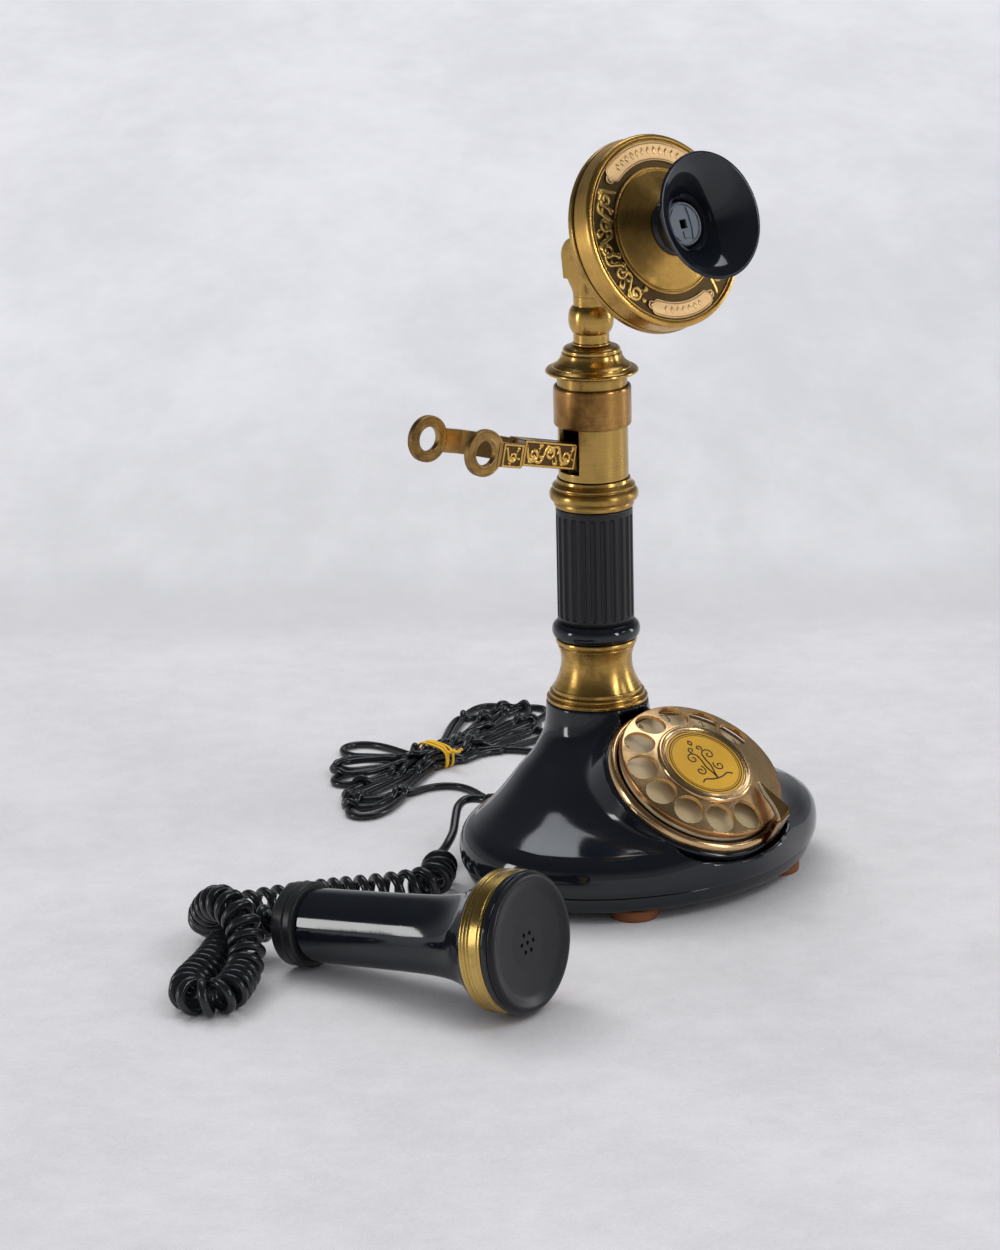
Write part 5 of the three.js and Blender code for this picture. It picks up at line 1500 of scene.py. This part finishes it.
def make_floor():
    """A pale table that runs on into a plastered wall tone some way behind the piece; a painted
    shadow darkens the crease between them and painted light brightens the wall further back.
    """
    size = 14.0
    mesh = bpy.data.meshes.new("floor")
    mesh.from_pydata([(-size, -size, 0), (size, -size, 0), (size, size, 0), (-size, size, 0)],
                     [], [(0, 1, 2, 3)])
    floor = bpy.data.objects.new("floor", mesh)
    bpy.context.scene.collection.objects.link(floor)
    n = Nodes("pale_floor")
    turned_round = n.add("Mapping", i0=n.own())
    turned_round.inputs["Rotation"].default_value = (0, 0, -CAMERA_AZIMUTH)
    x, y, _ = n.add("SeparateXYZ", i0=turned_round.outputs[0]).outputs
    back = n.step(y, WALL_FROM, WALL_FROM + 0.16)
    depth = n.math("MULTIPLY", n.math("SUBTRACT", y, WALL_FROM + 0.08), 0.3)
    upright = n.add("CombineXYZ", i0=x, i1=depth, i2=3.7)
    flat = n.add("CombineXYZ", i0=x, i1=y, i2=0.0)
    wall_cloud = n.noise(upright.outputs[0], 5.0, 8.0, 0.68)
    wall_fine = n.noise(upright.outputs[0], 30.0, 6.0, 0.7)
    wall = n.math("ADD", n.math("MULTIPLY", wall_cloud, 0.65),
                  n.math("MULTIPLY", wall_fine, 0.35))
    ground_cloud = n.noise(flat.outputs[0], 9.0, 7.0, 0.66)
    ground_fine = n.noise(flat.outputs[0], 60.0, 6.0, 0.7)
    ground = n.math("ADD", n.math("MULTIPLY", ground_cloud, 0.6),
                    n.math("MULTIPLY", ground_fine, 0.4))
    grain = n.noise(flat.outputs[0], 1100.0, 3.0, 0.7)
    weave = n.noise(flat.outputs[0], 420.0, 3.0, 0.65)
    speck = n.step(n.math("ADD", n.math("MULTIPLY", grain, 0.5),
                          n.math("MULTIPLY", weave, 0.5)), 0.3, 0.7)
    dusty = n.mix(n.step(ground, 0.34, 0.66), rgb(193, 192, 194), rgb(206, 205, 207))
    dusty = n.mix(n.math("MULTIPLY", speck, 0.22), dusty, rgb(228, 227, 229))
    # painted light: the wall tone grows much lighter further back, standing in for a lit
    # backdrop
    near_wall = n.mix(n.step(wall, 0.36, 0.66), rgb(195, 195, 198), rgb(208, 208, 211))
    far_wall = n.mix(n.step(wall, 0.36, 0.66), rgb(236, 236, 240), rgb(248, 248, 252))
    wall_tone_with_painted_light = n.mix(n.step(y, 0.3, 3.6), near_wall, far_wall)
    tone = n.mix(back, dusty, wall_tone_with_painted_light)
    # painted shadow: a darker band in the crease where the table turns into the wall
    crease_shade = n.math("MULTIPLY", n.step(y, WALL_FROM, WALL_FROM + 0.07),
                  n.step(y, WALL_FROM + 0.22, WALL_FROM + 0.09))
    tone = n.mix(n.math("MULTIPLY", crease_shade, 0.3), tone, rgb(176, 176, 180))
    n.put(n.shader.inputs["Base Color"], tone)
    n.shader.inputs["Roughness"].default_value = 0.75
    height = n.math("ADD", n.math("MULTIPLY", grain, 0.6), n.math("MULTIPLY", weave, 0.8))
    near = n.math("SUBTRACT", 1.0, n.math("MULTIPLY", back, 0.7))
    n.put(n.shader.inputs["Normal"],
          n.bump(n.math("MULTIPLY", height, near), 0.45, 0.0009))
    mesh.materials.append(n.material)


def light_direction(azimuth, elevation):
    """Unit vector to a light; azimuth 0 is in front of the dial and 90 to its right."""
    a, e = math.radians(azimuth), math.radians(elevation)
    return Vector((math.sin(a) * math.cos(e), -math.cos(a) * math.cos(e), math.sin(e)))


def soft_box(name, azimuth, elevation, distance, width, height, power, colour=(1, 1, 1),
             mirrored=True):
    """A rectangular soft box: either only mirrored by the piece or only lighting it."""
    away = light_direction(azimuth, elevation)
    data = bpy.data.lights.new(name, "AREA")
    data.shape = "RECTANGLE"
    data.size, data.size_y = width, height
    data.energy = power
    data.color = colour
    light = bpy.data.objects.new(name, data)
    light.visible_glossy = mirrored
    light.visible_diffuse = not mirrored
    bpy.context.scene.collection.objects.link(light)
    turn = (-away).to_track_quat("-Z", "Y").to_matrix().to_4x4()
    light.matrix_world = Matrix.Translation(LIGHT_AIM + away * distance) @ turn


def daylight(name, azimuth, elevation, strength):
    """Even light from far off, too broad to cast a hard shadow and not mirrored."""
    away = light_direction(azimuth, elevation)
    data = bpy.data.lights.new(name, "SUN")
    data.energy = strength
    data.angle = math.radians(40)
    light = bpy.data.objects.new(name, data)
    light.visible_glossy = False
    bpy.context.scene.collection.objects.link(light)
    light.matrix_world = (-away).to_track_quat("-Z", "Y").to_matrix().to_4x4()


def studio_sky():
    """Even soft light for matt surfaces, and a dim room with a pale horizon in reflections."""
    world = bpy.data.worlds.new("studio")
    bpy.context.scene.world = world
    world.use_nodes = True
    tree = world.node_tree
    background = tree.nodes["Background"]
    background.inputs[0].default_value = (0.96, 0.965, 1.0, 1)
    seen = tree.nodes.new("ShaderNodeLightPath")
    where = tree.nodes.new("ShaderNodeTexCoord")
    split = tree.nodes.new("ShaderNodeSeparateXYZ")
    tree.links.new(where.outputs["Generated"], split.inputs[0])
    fade = tree.nodes.new("ShaderNodeMapRange")
    fade.interpolation_type = "SMOOTHSTEP"
    tree.links.new(split.outputs[2], fade.inputs[0])
    for socket, value in zip(fade.inputs[1:5], (0.1, 0.55, SKY_HORIZON, SKY_TOP)):
        socket.default_value = value
    mixed = tree.nodes.new("ShaderNodeMix")
    tree.links.new(seen.outputs["Is Glossy Ray"], mixed.inputs[0])
    mixed.inputs[2].default_value = SKY_DIFFUSE
    tree.links.new(fade.outputs[0], mixed.inputs[3])
    tree.links.new(mixed.outputs[0], background.inputs[1])


make_floor()
studio_sky()
daylight("even_daylight", 172, 62, 0.65)
soft_box("back_wash", 170, 50, 2.2, 0.9, 0.7, 10, mirrored=False)
soft_box("front_wash", 15, 50, 2.2, 1.0, 0.8, 10, mirrored=False)
soft_box("overhead", 128, 58, 1.9, 1.5, 0.7, 9.5, colour=(0.9, 0.94, 1))
soft_box("rim_light", 41, 25, 1.9, 0.3, 0.3, 1.2, colour=(0.88, 0.93, 1))
soft_box("front_strip", 16, 20, 1.9, 0.26, 0.9, 8)
soft_box("left_strip", -116, 9, 1.7, 0.26, 0.6, 5)
soft_box("right_strip", 66, 10, 1.7, 0.26, 0.8, 4)
bpy.context.scene.view_settings.view_transform = "Standard"
